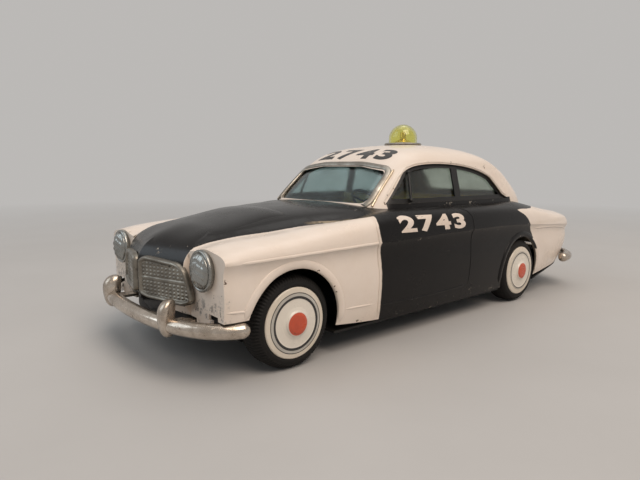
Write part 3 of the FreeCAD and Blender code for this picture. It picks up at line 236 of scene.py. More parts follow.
CREAM = (0.84, 0.735, 0.645)
CREAM_DULL = (0.76, 0.63, 0.52)
CREAM_WORN = (0.60, 0.49, 0.37)
BLACK = (0.0042, 0.0033, 0.0031)
BLACK_DUSTY = (0.012, 0.0095, 0.0085)
SCRATCH = (0.16, 0.14, 0.12)
SCUFF = (0.20, 0.185, 0.175)
LACQUER = (0.42, 0.32, 0.20)
RUST = (0.085, 0.038, 0.018)
RUST_ON_METAL = (0.13, 0.062, 0.032)
PIT = (0.10, 0.075, 0.055)
TIN = (0.42, 0.38, 0.32)
# bare tin of the shells' inner side, darker than TIN as painted shade
TIN_INSIDE_SHADED = (0.23, 0.20, 0.16)
TIN_STAINED = (0.13, 0.105, 0.08)
RING_BLACK = (0.02, 0.018, 0.017)

# Borders of the two paints: half widths along the car, and places along it at a height.
BORDER = (-0.1, 0.1)
BONNET_EDGE = [(-34.0, 19.4), (-22.2, 18.9), (-19.1, 19.7), (-13.8, 21.2), (-8.2, 22.4), (-1.7, 23.7),
               (10.1, 26.2), (18.0, 28.6), (24.9, 31.6), (32.5, 33.9), (45.0, 34.5)]
BOOT_EDGE = [(110.0, 37.4), (115.5, 36.9), (118.5, 36.4), (124.0, 36.0), (130.0, 34.9), (136.0, 31.8),
             (143.0, 28.8), (155.0, 26.5), (172.0, 24.0), (182.0, 22.5)]
DOOR_EDGE = [(7.0, 33.9), (14.4, 33.5), (24.0, 33.4), (32.7, 32.3), (37.3, 31.7), (40.3, 33.0), (42.5, 34.4)]
REAR_EDGE = [(8.0, 122.0), (20.0, 123.0), (25.4, 128.4), (26.8, 129.3), (29.8, 127.2), (32.6, 124.9),
             (36.2, 121.2), (38.2, 117.0), (38.9, 115.7), (40.5, 112.5)]
HALF_WIDTHS = (10.0, 40.0)  # range of the bonnet's and the boot's borders
DOOR_PLACES = (30.0, 36.0)  # range of the door's border
REAR_PLACES = (100.0, 150.0)  # range of the rear fender's border
CREASE_HEIGHT = 32.6


def ragged(net, *values):
    """The same places with the slight unevenness of a sprayed border."""
    waver = net.scaled(net.noise(420.0, 2.0), 0.36, -0.18)
    return [net.plus(value, waver) for value in values]


def inner_face(net, middle_y, middle_z, flat):
    """1 on faces that look towards a point inside the shell; flat is how much its length counts."""
    nx, ny, nz = net.split(net.add("TexCoord").outputs["Normal"])
    x, _, _ = net.split(net.object_place())
    _, along, high = net.car_place()
    outward = net.times(x, PER_METRE, nx)
    outward = net.plus(outward, net.times(net.scaled(along, flat, -middle_y * flat), ny))
    outward = net.plus(outward, net.times(net.minus(high, middle_z), nz))
    return net.below(outward, -1.0, 0.0)


def cabin_masks(net):
    """Cream, worn edges and inner side of the roof pressing, whose foot is black under the windows."""
    across, along, high = net.car_place()
    (border,) = ragged(net, along)
    strip = net.times(net.below(high, 43.9, 44.1), net.above(border, 44.6, 44.8),
                      net.below(border, 119.6, 120.2))
    foot = net.below(high, 43.0, 44.6)
    pillar = net.times(net.above(across, 26.4, 27.6), net.below(along, 58.0, 62.0))
    eaves = net.times(net.band(high, 55.4, 58.4, 0.5), net.above(across, 24.0, 26.0))
    return net.rest(strip), net.most(foot, pillar, eaves), inner_face(net, 88.0, 44.0, 0.3), []


def body_masks(net):
    """Cream, worn edges and inner side of the body pressing, and its scuffed and bare places; the rear arch's
    upper edge is kept black as painted shade.
    """
    across, along, high = net.car_place()
    border_x, border_y = ragged(net, across, along)
    from_bonnet = net.minus(border_x, net.curve(along, BONNET_EDGE, *HALF_WIDTHS))
    from_door = net.minus(border_y, net.curve(high, DOOR_EDGE, *DOOR_PLACES))
    from_rear = net.minus(border_y, net.curve(high, REAR_EDGE, *REAR_PLACES))
    from_boot = net.minus(border_x, net.curve(along, BOOT_EDGE, *HALF_WIDTHS))
    apron = net.times(net.above(border_x, 12.6, 12.8), net.below(high, 17.9, 18.1),
                      net.above(along, -30.0, -29.0))
    front = net.times(net.most(net.above(from_bonnet, *BORDER), apron), net.below(from_door, *BORDER))
    rear = net.times(net.above(from_rear, *BORDER), net.above(from_boot, *BORDER))
    # places that take the knocks
    bonnet = net.times(net.below(net.maths("ABSOLUTE", from_bonnet), 0.2, 1.3), net.below(along, 33.0, 34.0))
    door = net.below(net.maths("ABSOLUTE", net.plus(from_door, 0.6)), 0.5, 1.3)
    door_rear = net.band(along, 81.2, 82.6, 0.4)
    nose = net.times(net.below(along, -21.4, -18.5), 0.8)
    sill = net.below(high, 9.0, 13.5)
    crease = net.band(net.minus(high, CREASE_HEIGHT), -0.9, 0.7, 0.4)
    crease = net.times(crease, net.above(along, 26.0, 34.0), 0.85)
    edges = net.most(bonnet, door, door_rear, nose, sill, crease)
    for end, centre in AXLES.items():
        reach = net.away(net.minus(along, centre), net.minus(high, ARCH_HEIGHT))
        radius = ARCH_RADIUS[end]
        edges = net.most(edges, net.band(reach, radius - 1.0, radius + 0.9, 0.5))
        # on the rear arch the ring along the edge above 21 mm stays black instead of cream: painted shade
        if end == "rear":
            lip = net.times(net.below(reach, 15.85, 16.05), net.above(high, 21.0, 21.6))
            rear = net.times(rear, net.rest(lip))
    # scuffs on the nose beside the grilles, and lacquered tin at the bonnet's rear corners
    scuffs = net.times(net.above(net.noise(520.0, 6.0, 0.8), 0.535, 0.60), net.band(high, 14.0, 22.0, 2.4),
                       net.band(across, 21.0, 37.0, 1.6), net.below(along, -20.8, -19.6), 0.75)
    cowl = net.times(net.band(from_bonnet, -2.6, -0.35, 0.35), net.band(along, 15.0, 31.5, 2.5),
                     net.above(net.noise(210.0, 4.0), 0.36, 0.5), net.above(high, 36.0, 36.5), 0.8)
    return net.most(front, rear), edges, inner_face(net, 75.0, 16.0, 0.25), [(scuffs, SCUFF), (cowl, LACQUER)]


def enamel(name, masks):
    """Black and cream gloss paint on tin, its border, chips, scratches and dirt in object space; bare tin on
    the inner side is painted darker as painted shade.
    """
    net = Net(name)
    white, edges, inside, marks = masks(net)
    # chips: rare all over, denser where an edge takes the knocks
    grain = net.scaled(net.noise(900.0, 4.0, 0.7), 0.45, net.times(net.noise(260.0, 5.0, 0.72), 0.55))
    chips = net.above(net.minus(grain, net.scaled(edges, -0.088, 0.682)), 0.0, 0.012)
    bare = net.above(net.noise(640.0, 2.0), 0.45, 0.6)
    chip_colour = net.mix(net.times(bare, 0.5), RUST, TIN)
    chip_colour = net.mix(net.times(net.rest(white), 0.8), chip_colour, TIN)
    # grime in soft patches, and thin scratches
    grime = net.above(net.noise(70.0, 6.0, 0.66), 0.42, 0.72)
    scratch = net.above(net.noise(330.0, 3.0, 0.6, net.stretched_place(6.0, 9.0), 0.6), 0.70, 0.74)
    dust = net.above(net.noise(150.0, 6.0, 0.7), 0.35, 0.8)
    cream = net.mix(net.times(grime, 0.5), CREAM, CREAM_DULL)
    cream = net.mix(net.times(edges, 0.18), cream, CREAM_WORN)
    black = net.mix(net.times(dust, 0.35), BLACK, BLACK_DUSTY)
    black = net.mix(net.times(scratch, 0.22), black, SCRATCH)
    paint = net.mix(white, black, cream)
    for mark, mark_colour in marks:
        paint = net.mix(mark, paint, mark_colour)
    colour = net.mix(chips, paint, chip_colour)
    # bare tin on faces turned inwards, painted darker than the chips' tin as painted shade, with stains where
    # grime lies
    colour = net.mix(inside, colour, net.mix(grime, TIN_INSIDE_SHADED, TIN_STAINED))
    rough = net.most(net.scaled(grime, 0.10, 0.22), net.times(chips, 0.62), net.times(inside, 0.6))
    relief = net.scaled(chips, -0.6, net.times(net.noise(55.0, 3.0, 0.5), 0.5))
    shine = net.times(chips, bare, net.rest(inside))
    return net.shader(base_color=colour, roughness=rough, metallic=shine, normal=net.bump(relief, 0.30),
                      specular_ior_level=0.22, coat_weight=0.05, coat_roughness=0.10)


def plain_paint(name, colour, shade, roughness, wear=TIN, amount=0.0, gloss=0.0):
    """One paint with slow variation, fine grain and a little wear."""
    net = Net(name)
    patches = net.above(net.noise(90.0, 5.0, 0.65), 0.35, 0.7)
    worn = net.above(net.noise(700.0, 5.0, 0.75), 0.70 - amount, 0.72 - amount)
    tone = net.mix(worn, net.mix(patches, colour, shade), wear)
    height = net.scaled(worn, -0.5, net.noise(300.0, 3.0))
    return net.shader(base_color=tone, roughness=net.scaled(patches, 0.12, roughness),
                      specular_ior_level=0.35, normal=net.bump(height, 0.2), coat_weight=gloss)


def metal(name, colour, stain, roughness, stain_level=0.5, rust=0.0, scale=160.0):
    """Plated tin: bright metal under patches of tarnish, pits and a few rust spots."""
    net = Net(name)
    tarnish = net.above(net.noise(scale, 7.0, 0.7), stain_level - 0.12, stain_level + 0.16)
    pits = net.above(net.noise(scale * 6.5, 4.0, 0.75), 0.63, 0.67)
    tone = net.mix(net.times(pits, 0.6), net.mix(tarnish, colour, stain), PIT)
    rough = net.scaled(tarnish, 0.26, roughness)
    shine = net.above(tarnish, 0.0, 1.0, 1.0, 0.78)
    if rust > 0:
        spots = net.above(net.noise(scale * 2.2, 6.0, 0.8), 0.70 - rust, 0.74 - rust)
        tone = net.mix(spots, tone, RUST_ON_METAL)
        rough = net.most(rough, net.times(spots, 0.75))
        shine = net.times(shine, net.rest(spots))
    height = net.scaled(pits, -0.7, net.noise(scale * 1.5, 4.0))
    return net.shader(base_color=tone, metallic=shine, roughness=rough, normal=net.bump(height, 0.25))


def clear(name, colour, haze, roughness, scale=120.0):
    """Clear plastic: tinted, with a thin film of dirt on a slightly uneven surface."""
    net = Net(name)
    film = net.above(net.noise(scale, 6.0, 0.7), 0.35, 0.8)
    return net.shader(base_color=net.mix(film, colour, haze), roughness=net.scaled(film, 0.12, roughness),
                      transmission_weight=1.0, ior=1.45, normal=net.bump(net.noise(scale * 0.4, 3.0), 0.06))


def wheel_print(name, axle, rings):
    """Printed disc: cream rim, thin and thick black rings with a band between, pale middle, red centre."""
    net = Net(name)
    _, along, high = net.car_place()
    reach = net.plus(net.away(net.minus(along, axle), net.minus(high, WHEEL_HEIGHT)), -0.05)
    reach = net.scaled(net.noise(300.0, 2.0), 0.10, reach)
    age = net.above(net.noise(150.0, 6.0, 0.7), 0.38, 0.75)
    cream = net.mix(net.times(age, 0.45), (0.74, 0.66, 0.55), (0.55, 0.46, 0.35))
    silver = net.mix(age, rings["band"], (0.38, 0.34, 0.29))
    pale = net.mix(net.times(age, 0.3), (0.78, 0.72, 0.63), (0.62, 0.54, 0.43))
    red = net.mix(age, (0.60, 0.085, 0.030), (0.44, 0.065, 0.028))
    thin, thick, centre = rings["thin"], rings["thick"], rings["centre"]
    tone = net.mix(net.band(reach, *thin, 0.05), cream, RING_BLACK)
    tone = net.mix(net.band(reach, thick[1], thin[0], 0.04), tone, silver)
    tone = net.mix(net.band(reach, *thick, 0.05), tone, RING_BLACK)
    tone = net.mix(net.below(reach, thick[0] - 0.05, thick[0] + 0.05), tone, pale)
    tone = net.mix(net.below(reach, centre - 0.08, centre + 0.08), tone, red)
    tone = net.mix(net.above(net.noise(850.0, 4.0, 0.7), 0.70, 0.72), tone, RUST)
    return net.shader(base_color=tone, roughness=net.scaled(age, 0.15, 0.24), coat_weight=0.25,
                      normal=net.bump(net.noise(240.0, 3.0), 0.12))


def rubber(name):
    """Old tyre rubber with pale dust on it."""
    net = Net(name)
    dust = net.above(net.noise(200.0, 6.0, 0.72), 0.40, 0.78)
    tone = net.mix(net.times(dust, 0.55), (0.0065, 0.0058, 0.0054), (0.026, 0.022, 0.019))
    return net.shader(base_color=tone, roughness=net.scaled(dust, 0.2, 0.58), specular_ior_level=0.25,
                      normal=net.bump(net.noise(900.0, 4.0), 0.3))


SLOT_MATERIALS = {
    "black_enamel": enamel("enamel_body", body_masks),
    "cream_enamel": enamel("enamel_roof", cabin_masks),
    "base_black": plain_paint("base_black", (0.006, 0.0055, 0.005), (0.012, 0.0105, 0.009), 0.55),
    "frame_black": plain_paint("frame_black", (0.009, 0.008, 0.0075), (0.017, 0.015, 0.0135), 0.36,
                               gloss=0.1),
    "dull_nickel": metal("dull_nickel", (0.40, 0.375, 0.33), (0.21, 0.185, 0.155), 0.28),
    "tarnished_chrome": metal("tarnished_chrome", (0.64, 0.565, 0.485), (0.29, 0.235, 0.185), 0.11,
                              rust=0.06),
    "steel": metal("steel", (0.50, 0.49, 0.47), (0.28, 0.25, 0.22), 0.28, rust=0.03),
    "brass": metal("brass", (0.70, 0.50, 0.22), (0.38, 0.26, 0.12), 0.24, 0.55),
    "clear_plastic": clear("side_plastic", (0.70, 0.76, 0.70), (0.52, 0.56, 0.50), 0.05),
    "beacon_yellow": clear("dome_plastic", (0.95, 0.93, 0.40), (0.90, 0.86, 0.46), 0.05, 260.0),
    "gold_lacquer": plain_paint("gold_lacquer", (0.80, 0.54, 0.06), (0.42, 0.26, 0.04), 0.30,
                                (0.20, 0.12, 0.03), gloss=0.3),
    "tail_red": plain_paint("tail_red", (0.42, 0.020, 0.015), (0.26, 0.014, 0.012), 0.20, gloss=0.5),
    "hub_plastic": plain_paint("hub_plastic", (0.030, 0.028, 0.027), (0.055, 0.05, 0.046), 0.45),
    "tyre_rubber": rubber("tyre_rubber"),
}
grille_metal = metal("grille_nickel", (0.27, 0.25, 0.215), (0.14, 0.125, 0.105), 0.25)
lamp_metal = metal("lamp_nickel", (0.34, 0.345, 0.33), (0.19, 0.18, 0.16), 0.17, 0.56)
champagne = metal("champagne_bead", (0.72, 0.60, 0.45), (0.40, 0.31, 0.22), 0.24, 0.55)
screen_plastic = clear("screen_plastic", (0.55, 0.74, 0.80), (0.40, 0.55, 0.60), 0.04)
number_white = plain_paint("number_white", CREAM, CREAM_DULL, 0.26, (0.05, 0.04, 0.035), 0.02, 0.3)
number_black = plain_paint("number_black", BLACK, (0.03, 0.027, 0.025), 0.26, CREAM_DULL, 0.02, 0.3)

# Radii of the printed rings in millimetres, and the colour of the band between them.
RINGS = {
    "front": {"thin": (8.32, 8.58), "thick": (6.85, 7.6), "centre": 3.2, "band": (0.52, 0.50, 0.45)},
    "rear": {"thin": (7.95, 8.05), "thick": (7.2, 7.65), "centre": 3.2, "band": (0.70, 0.64, 0.54)},
}
discs = {end: wheel_print("disc_" + end, AXLES[end], rings) for end, rings in RINGS.items()}

NODE_MATERIALS = {"windscreen": screen_plastic, "beacon_rivet": champagne}
for word, _ in SIDES:
    NODE_MATERIALS["headlamp_" + word] = lamp_metal
    NODE_MATERIALS["vent_post_" + word] = SLOT_MATERIALS["frame_black"]
    for end, printed in discs.items():
        NODE_MATERIALS["wheel_disc_%s_%s" % (end, word)] = printed
slot_of = {part["node"]: part["material_slot"] for part in frame["record"]["subparts"]}
for name, obj in nodes.items():
    obj.data.materials.clear()
    obj.data.materials.append(NODE_MATERIALS.get(name) or SLOT_MATERIALS[slot_of[name]])


# ---- mesh helpers ----
RAY_START = 70.0  # from the middle plane, outside the car
RAY_TOP = 120.0
RAY_FRONT = -60.0
RAY_REAR = 200.0


def surface(name):
    """Search tree over the rest shape of a node, in the frame's metres."""
    mesh = nodes[name].data
    points = [v.co.copy() for v in mesh.vertices]
    return BVHTree.FromPolygons(points, [list(p.vertices) for p in mesh.polygons])


body_tree = surface("body_shell")
roof_tree = surface("roof_shell")


def from_side(tree, y, z, side):
    """Point and normal of the outermost surface at one place of the side."""
    return tree.ray_cast(place(side * RAY_START, y, z), Vector((-side, 0, 0)))[:2]


def piece(name, points, faces, slot, material=None, body="car", sharp=40.0):
    """New mesh piece from points in metres, in its slot's material unless another is given."""
    mesh = bpy.data.meshes.new(name)
    mesh.from_pydata([tuple(p) for p in points], [], faces)
    mesh.validate()
    work = bmesh.new()
    work.from_mesh(mesh)
    bmesh.ops.remove_doubles(work, verts=work.verts, dist=2e-6)
    bmesh.ops.recalc_face_normals(work, faces=work.faces)
    work.to_mesh(mesh)
    work.free()
    mesh.shade_smooth()
    mesh.set_sharp_from_angle(angle=math.radians(sharp))
    mesh.materials.append(material or SLOT_MATERIALS[slot])
    obj = bpy.data.objects.new(name, mesh)
    scene.collection.objects.link(obj)
    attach(obj, body)
    return obj


def resample(points, count):
    """Points at even steps along a line."""
    gaps = [(b - a).length for a, b in zip(points, points[1:])]
    total = sum(gaps)
    out = []
    i = 0
    gone = 0.0
    for k in range(count):
        want = total * k / (count - 1)
        while i < len(gaps) - 1 and gone + gaps[i] < want:
            gone += gaps[i]
            i += 1
        share = min(1.0, (want - gone) / gaps[i]) if gaps[i] else 0.0
        out.append(points[i].lerp(points[i + 1], share))
    return out


def rows_of_faces(rows, ring, closed=False):
    """Faces over rows of points, each a closed ring, with capped ends or the last row on the first."""
    faces = []
    for i in range(rows if closed else rows - 1):
        a = i * ring
        b = (i + 1) % rows * ring
        for j in range(ring):
            k = (j + 1) % ring
            faces.append((a + j, b + j, b + k, a + k))
    if not closed:
        faces.append(tuple(range(ring)))
        faces.append(tuple(reversed(range((rows - 1) * ring, rows * ring))))
    return faces


def bead_mesh(line, half_width, height, taper=3, closed=False, steps=6, fade=0.12):
    """Half-round bead along (point, normal) pairs, closed below the surface that it sits on."""
    sink = 0.25
    points = []
    count = len(line)
    for i, (p, n) in enumerate(line):
        if closed:
            t = (line[(i + 1) % count][0] - line[i - 1][0]).normalized()
            k = 1.0
        else:
            t = (line[min(i + 1, count - 1)][0] - line[max(i - 1, 0)][0]).normalized()
            k = min(1.0, fade + (1.0 - fade) * min(i, count - 1 - i) / taper)
        n = (n - t * n.dot(t)).normalized()
        s = t.cross(n).normalized()
        w = half_width * MM * k
        h = height * MM * k
        points.append(p + s * w - n * sink * MM)
        for j in range(steps + 1):
            a = math.pi * j / steps
            points.append(p + s * w * math.cos(a) + n * h * math.sin(a))
        points.append(p - s * w - n * sink * MM)
    return points, rows_of_faces(count, steps + 3, closed)


def bead(name, line, half_width, height, slot, material=None, **more):
    return piece(name, *bead_mesh(line, half_width, height, **more), slot, material)


def side_line(tree, guides, side, count):
    """Line of (point, normal) on the car's side over (y, z) guide points."""
    flat = resample([Vector((y, z, 0)) for y, z in guides], count)
    hits = [from_side(tree, p.x, p.y, side) for p in flat]
    return [(hit, normal) for hit, normal in hits if hit is not None]


# ---- pressed details of the body ----
FOLD_LOW = 28.6  # heights between which the shoulder's fold is looked for
FOLD_HIGH = 35.4
FOLD_STEP = 0.2
FOLD_LIFT = 0.12
FOLD_ROUNDS = 30  # rounds that smooth the fold's height
# Name, (y, z) guide points, steps along them, half width and height.
SEAMS = (
    ("door_front_bead", [(y - 0.85, z) for z, y in reversed(DOOR_EDGE) if z < 41.0], 44, 0.55, 0.36),
    ("door_rear_seam", [(76.0, 41.4), (79.6, 40.4), (81.6, 38.2), (82.2, 34.5), (82.0, 24.0), (81.6, 15.0),
                        (81.0, 12.6)], 40, 0.30, 0.16),
    ("sill_crease", [(33.0, 12.9), (50.0, 12.3), (66.0, 12.3), (80.9, 12.7)], 40, 0.40, 0.22),
    ("fender_foot_crease", [(18.0, 14.0), (24.0, 13.8), (30.6, 13.6)], 14, 0.34, 0.18),
    ("fender_front_crease", [(-21.6, 19.7), (-18.0, 19.5), (-14.6, 19.1)], 12, 0.34, 0.2),
    ("rear_crease", [(130.8, 30.3), (140.0, 30.2), (152.0, 29.6), (164.0, 28.4), (172.0, 26.9)], 34,
     0.42, 0.18),
)
# Name, first and last y, steps, half width and height.
FOLDS = (
    ("shoulder_crease_front", -17.6, 33.0, 90, 0.42, 0.20),
    ("shoulder_crease_door", 34.6, 80.6, 80, 0.36, 0.14),
)
ARCH_SWEEP = {"front": (-12.0, 192.0), "rear": (-10.0, 190.0)}
ARCH_STEPS = 60
LIP_OFFSET = 1.15
LIP_INNERMOST = 0.030  # metres from the middle plane


def crease_line(side, start, end, count):
    """Line along the fold of the car's side, found where the surface turns most."""
    ys = [start + (end - start) * k / (count - 1) for k in range(count)]
    heights = []
    for y in ys:
        sharpest = 2.0
        height = 32.0
        before = None
        z = FOLD_LOW
        while z < FOLD_HIGH:
            hit, normal = from_side(body_tree, y, z, side)
            if hit is not None:
                if before is not None and before[1].dot(normal) < sharpest:
                    sharpest = before[1].dot(normal)
                    height = (before[0] + z) / 2
                before = (z, normal)
            z += FOLD_STEP
        heights.append(height)
    for _ in range(FOLD_ROUNDS):
        middle = [(a + 2 * b + c) / 4 for a, b, c in zip(heights, heights[1:], heights[2:])]
        heights = [heights[0]] + middle + [heights[-1]]
    return [from_side(body_tree, y, z + FOLD_LIFT, side) for y, z in zip(ys, heights)]


def arch_line(side, end):
    """Line round a wheel arch, where it lies on the car's side."""
    first, last = ARCH_SWEEP[end]
    reach = ARCH_RADIUS[end] + LIP_OFFSET
    line = []
    for i in range(ARCH_STEPS + 1):
        a = math.radians(first + (last - first) * i / ARCH_STEPS)
        y = AXLES[end] + reach * math.cos(a)
        hit, normal = from_side(body_tree, y, ARCH_HEIGHT + reach * math.sin(a), side)
        if hit is not None and hit.x * side > LIP_INNERMOST:
            line.append((hit, normal))
    return line


def body_details(word, side):
    """Beads, seams, creases and arch lips of one side, all in the body's own paint."""

    def press(name, line, half_width, height, **more):
        bead("%s_%s" % (name, word), line, half_width, height, "black_enamel", **more)

    for name, guides, count, half_width, height in SEAMS:
        press(name, side_line(body_tree, guides, side, count), half_width, height)
    for name, start, end, count, half_width, height in FOLDS:
        press(name, crease_line(side, start, end, count), half_width, height, fade=0.3)
    for end in AXLES:
        press("arch_lip_" + end, arch_line(side, end), 1.2, 0.42, taper=2, steps=10)


# ---- plain unit number ----
NUMBER = "2743"
PRINT_LIFT = 0.045
DOOR_TEXT = (35.4, 5.9)  # width and height of the digits
DOOR_TEXT_START = (40.4, 34.9)  # (y, z) of their lower front corner
DOOR_TEXT_LEAN = 1.3
DOOR_TEXT_DROP = 0.7  # how far the line of digits falls towards the rear
DOOR_TEXT_RISE = 0.925  # height on the door for each millimetre of a digit
ROOF_TEXT = (37.2, 8.0)
ROOF_TEXT_START = (-17.6, 54.2)


def number_mesh(width, height):
    """Flat heavy digits, cut every millimetre to follow a curved panel; (u, v) from 0,0."""
    curve = bpy.data.curves.new("digits", "FONT")
    curve.body = NUMBER
    curve.size = 10.0
    curve.offset = 0.42
    curve.space_character = 1.22
    maker = bpy.data.objects.new("digits", curve)
    scene.collection.objects.link(maker)
    bpy.context.view_layer.update()
    flat = bpy.data.meshes.new_from_object(maker.evaluated_get(bpy.context.evaluated_depsgraph_get()))
    bpy.data.objects.remove(maker)
    bpy.data.curves.remove(curve)
    work = bmesh.new()
    work.from_mesh(flat)
    bpy.data.meshes.remove(flat)
    bmesh.ops.remove_doubles(work, verts=work.verts, dist=1e-4)
    xs = [v.co.x for v in work.verts]
    ys = [v.co.y for v in work.verts]
    for v in work.verts:
        v.co.x = (v.co.x - min(xs)) / (max(xs) - min(xs)) * width
        v.co.y = (v.co.y - min(ys)) / (max(ys) - min(ys)) * height
        v.co.z = 0.0
    for along, size in ((Vector((1, 0, 0)), width), (Y_AXIS, height)):
        step = 1.0
        while step < size:
            everything = work.verts[:] + work.edges[:] + work.faces[:]
            bmesh.ops.bisect_plane(work, geom=everything, plane_co=along * step, plane_no=along, dist=1e-4)
            step += 1.0
    bmesh.ops.triangulate(work, faces=work.faces)
    work.verts.index_update()
    points = [v.co.copy() for v in work.verts]
    faces = [tuple(v.index for v in f.verts) for f in work.faces]
    work.free()
    return points, faces


def lay_number(name, spot, size, slot, material):
    """Digits as a thin printed layer; spot(u, v) gives the point and normal on the panel."""
    flat, faces = number_mesh(*size)
    points = []
    for p in flat:
        hit, normal = spot(p.x, p.y)
        points.append(hit + normal * PRINT_LIFT * MM)
    piece(name, points, faces, slot, material, sharp=180.0)


def door_spot(side):
    """Place of a digit's point on one door; the first digit is at the reader's left on both."""
    width, tall = DOOR_TEXT
    start_y, start_z = DOOR_TEXT_START

    def spot(u, v):
        along = u if side > 0 else width - u
        lean = DOOR_TEXT_LEAN * (1.0 - v / tall)
        z = start_z - DOOR_TEXT_DROP * along / width + v * DOOR_TEXT_RISE
        return from_side(body_tree, start_y + lean + along, z, side)

    return spot


def roof_spot(u, v):
    """Place of a digit's point on the roof, read from the front."""
    x, y = ROOF_TEXT_START
    return roof_tree.ray_cast(place(x + u, y + v, RAY_TOP), -Z_AXIS)[:2]


# ---- grilles ----
GRILLE_OUTLINE = [(1.3, 19.6), (4.6, 18.5), (19.6, 18.3), (23.4, 19.5), (23.2, 22.5), (20.6, 28.4),
                  (17.6, 30.0), (4.0, 30.7), (1.2, 29.4)]
GRILLE_INNER = Vector((0.0, -28.6, 0.0))  # (x, y) at the nose's tip
GRILLE_OUTER = Vector((17.7, -24.0, 0.0))  # another point of the same plane
GRILLE_CENTRE = Vector((12.0, 24.4))
GRILLE_CORNER = 1.6
GRILLE_RING = 280  # points round the outline
GRILLE_ROWS = 46  # rows from the outline to the centre
GRILLE_BACK = -0.3
GRILLE_FACE = 0.5
RIM_WIDTH = 1.35
RIM_HEIGHT = 0.8
DOT_START = 2.4
DOT_PITCH = 1.62  # between dots across the car
DOT_ROW_PITCH = 1.02  # between rows of dots
DOT_HEIGHT = 0.40
BAR_GAP = 0.62  # middle of the bar to the first row of dots
BAR_HALF = 0.5
BAR_HEIGHT = 0.2


def rounded(outline, radius, arc=5):
    """Outline with its corners rounded off."""
    out = []
    count = len(outline)
    for i in range(count):
        p = Vector(outline[i])
        a = Vector(outline[i - 1]) - p
        b = Vector(outline[(i + 1) % count]) - p
        r = min(radius, a.length * 0.42, b.length * 0.42)
        start = p + a.normalized() * r
        end = p + b.normalized() * r
        for k in range(arc + 1):
            t = k / arc
            out.append(start.lerp(p, t).lerp(p.lerp(end, t), t))
    return out


def even_ring(outline, count):
    """Points at even steps round a closed outline."""
    ring = [Vector((q[0], q[1], 0)) for q in outline]
    return resample(ring + [ring[0]], count + 1)[:-1]


def inside_distance(point, outline):
    """Distance from a point to the nearest side of an outline."""
    best = 1e9
    for i in range(len(outline)):
        a = outline[i - 1]
        d = outline[i] - a
        t = max(0.0, min(1.0, (point - a).dot(d) / max(d.length_squared, 1e-12)))
        best = min(best, (point - (a + d * t)).length)
    return best


def grille_lift(p, d):
    """Height of the pressing at a point that lies d inside its outline: rim, upright bar and dots."""
    if d < RIM_WIDTH:
        return GRILLE_FACE + RIM_HEIGHT * math.sin(math.pi * min(1.0, d / RIM_WIDTH)) ** 0.7
    lift = GRILLE_FACE
    u = (p.x - DOT_START) / DOT_PITCH
    v = p.y - GRILLE_CENTRE.y - 0.02 * (p.x - GRILLE_CENTRE.x)
    row = (abs(v) - BAR_GAP) / DOT_ROW_PITCH
    if abs(v) > BAR_GAP and d > RIM_WIDTH + 0.1:
        bump_u = 0.5 - 0.5 * math.cos(2 * math.pi * u)
        bump_v = 0.5 - 0.5 * math.cos(2 * math.pi * row)
        lift += DOT_HEIGHT * (bump_u * bump_v) ** 1.5
    if abs(v) < BAR_HALF:
        lift += BAR_HEIGHT * math.cos(v / BAR_HALF * math.pi / 2) ** 0.6
    return lift


def grille(word, side):
    """Pressed half of the grille, standing on the slanted face of the nose."""
    across = (GRILLE_OUTER - GRILLE_INNER).normalized()
    outward = Vector((across.y, -across.x, 0.0))
    edge = [q.to_2d() for q in even_ring(rounded(GRILLE_OUTLINE, GRILLE_CORNER), GRILLE_RING)]

    def spot(q, lift):
        p = GRILLE_INNER + across * q.x + outward * lift
        return place(side * p.x, p.y, q.y)

    points = [spot(q, GRILLE_BACK) for q in edge]
    for k in range(GRILLE_ROWS + 1):
        share = (k / GRILLE_ROWS) ** 0.92
        for q in edge:
            p = q.lerp(GRILLE_CENTRE, share * 0.999)
            points.append(spot(p, grille_lift(p, inside_distance(p, edge))))
    faces = rows_of_faces(GRILLE_ROWS + 2, GRILLE_RING)
    obj = piece("grille_face_" + word, points, faces, "dull_nickel", grille_metal, sharp=75.0)
    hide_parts("grille_" + word)


# ---- headlamps ----
LAMP_CENTRE = (27.6, -22.0, 29.1)
LAMP_RIM = [(0.0, -0.3), (4.9, -0.3), (5.15, 0.25), (5.45, 0.75), (5.5, 1.15), (5.42, 1.5), (5.2, 1.72),
            (4.95, 1.72), (4.78, 1.55), (4.68, 1.5)]
LAMP_FACE_RADIUS = 4.62
LAMP_FACE_FOOT = 1.5
LAMP_FACE_RISE = 1.75
LAMP_FACE_ROWS = 14
LAMP_STEPS = 96
FLUTE_PITCH = 1.15
FLUTE_HEIGHT = 0.10
ARROW_PITCH = 1.9
ARROW_HEIGHT = 0.09


def lamp_pattern(x, z, r):
    """Pressed pattern of upright flutes crossed by shallow arrows, calm near the rim."""
    calm = max(0.0, min(1.0, (4.5 - r) / 0.5))
    flute = FLUTE_HEIGHT * math.cos(2 * math.pi * x / FLUTE_PITCH)
    arrow = ARROW_HEIGHT * math.cos(2 * math.pi * (z + 0.35 * abs(x)) / ARROW_PITCH)
    return calm * (flute + arrow - 0.1)


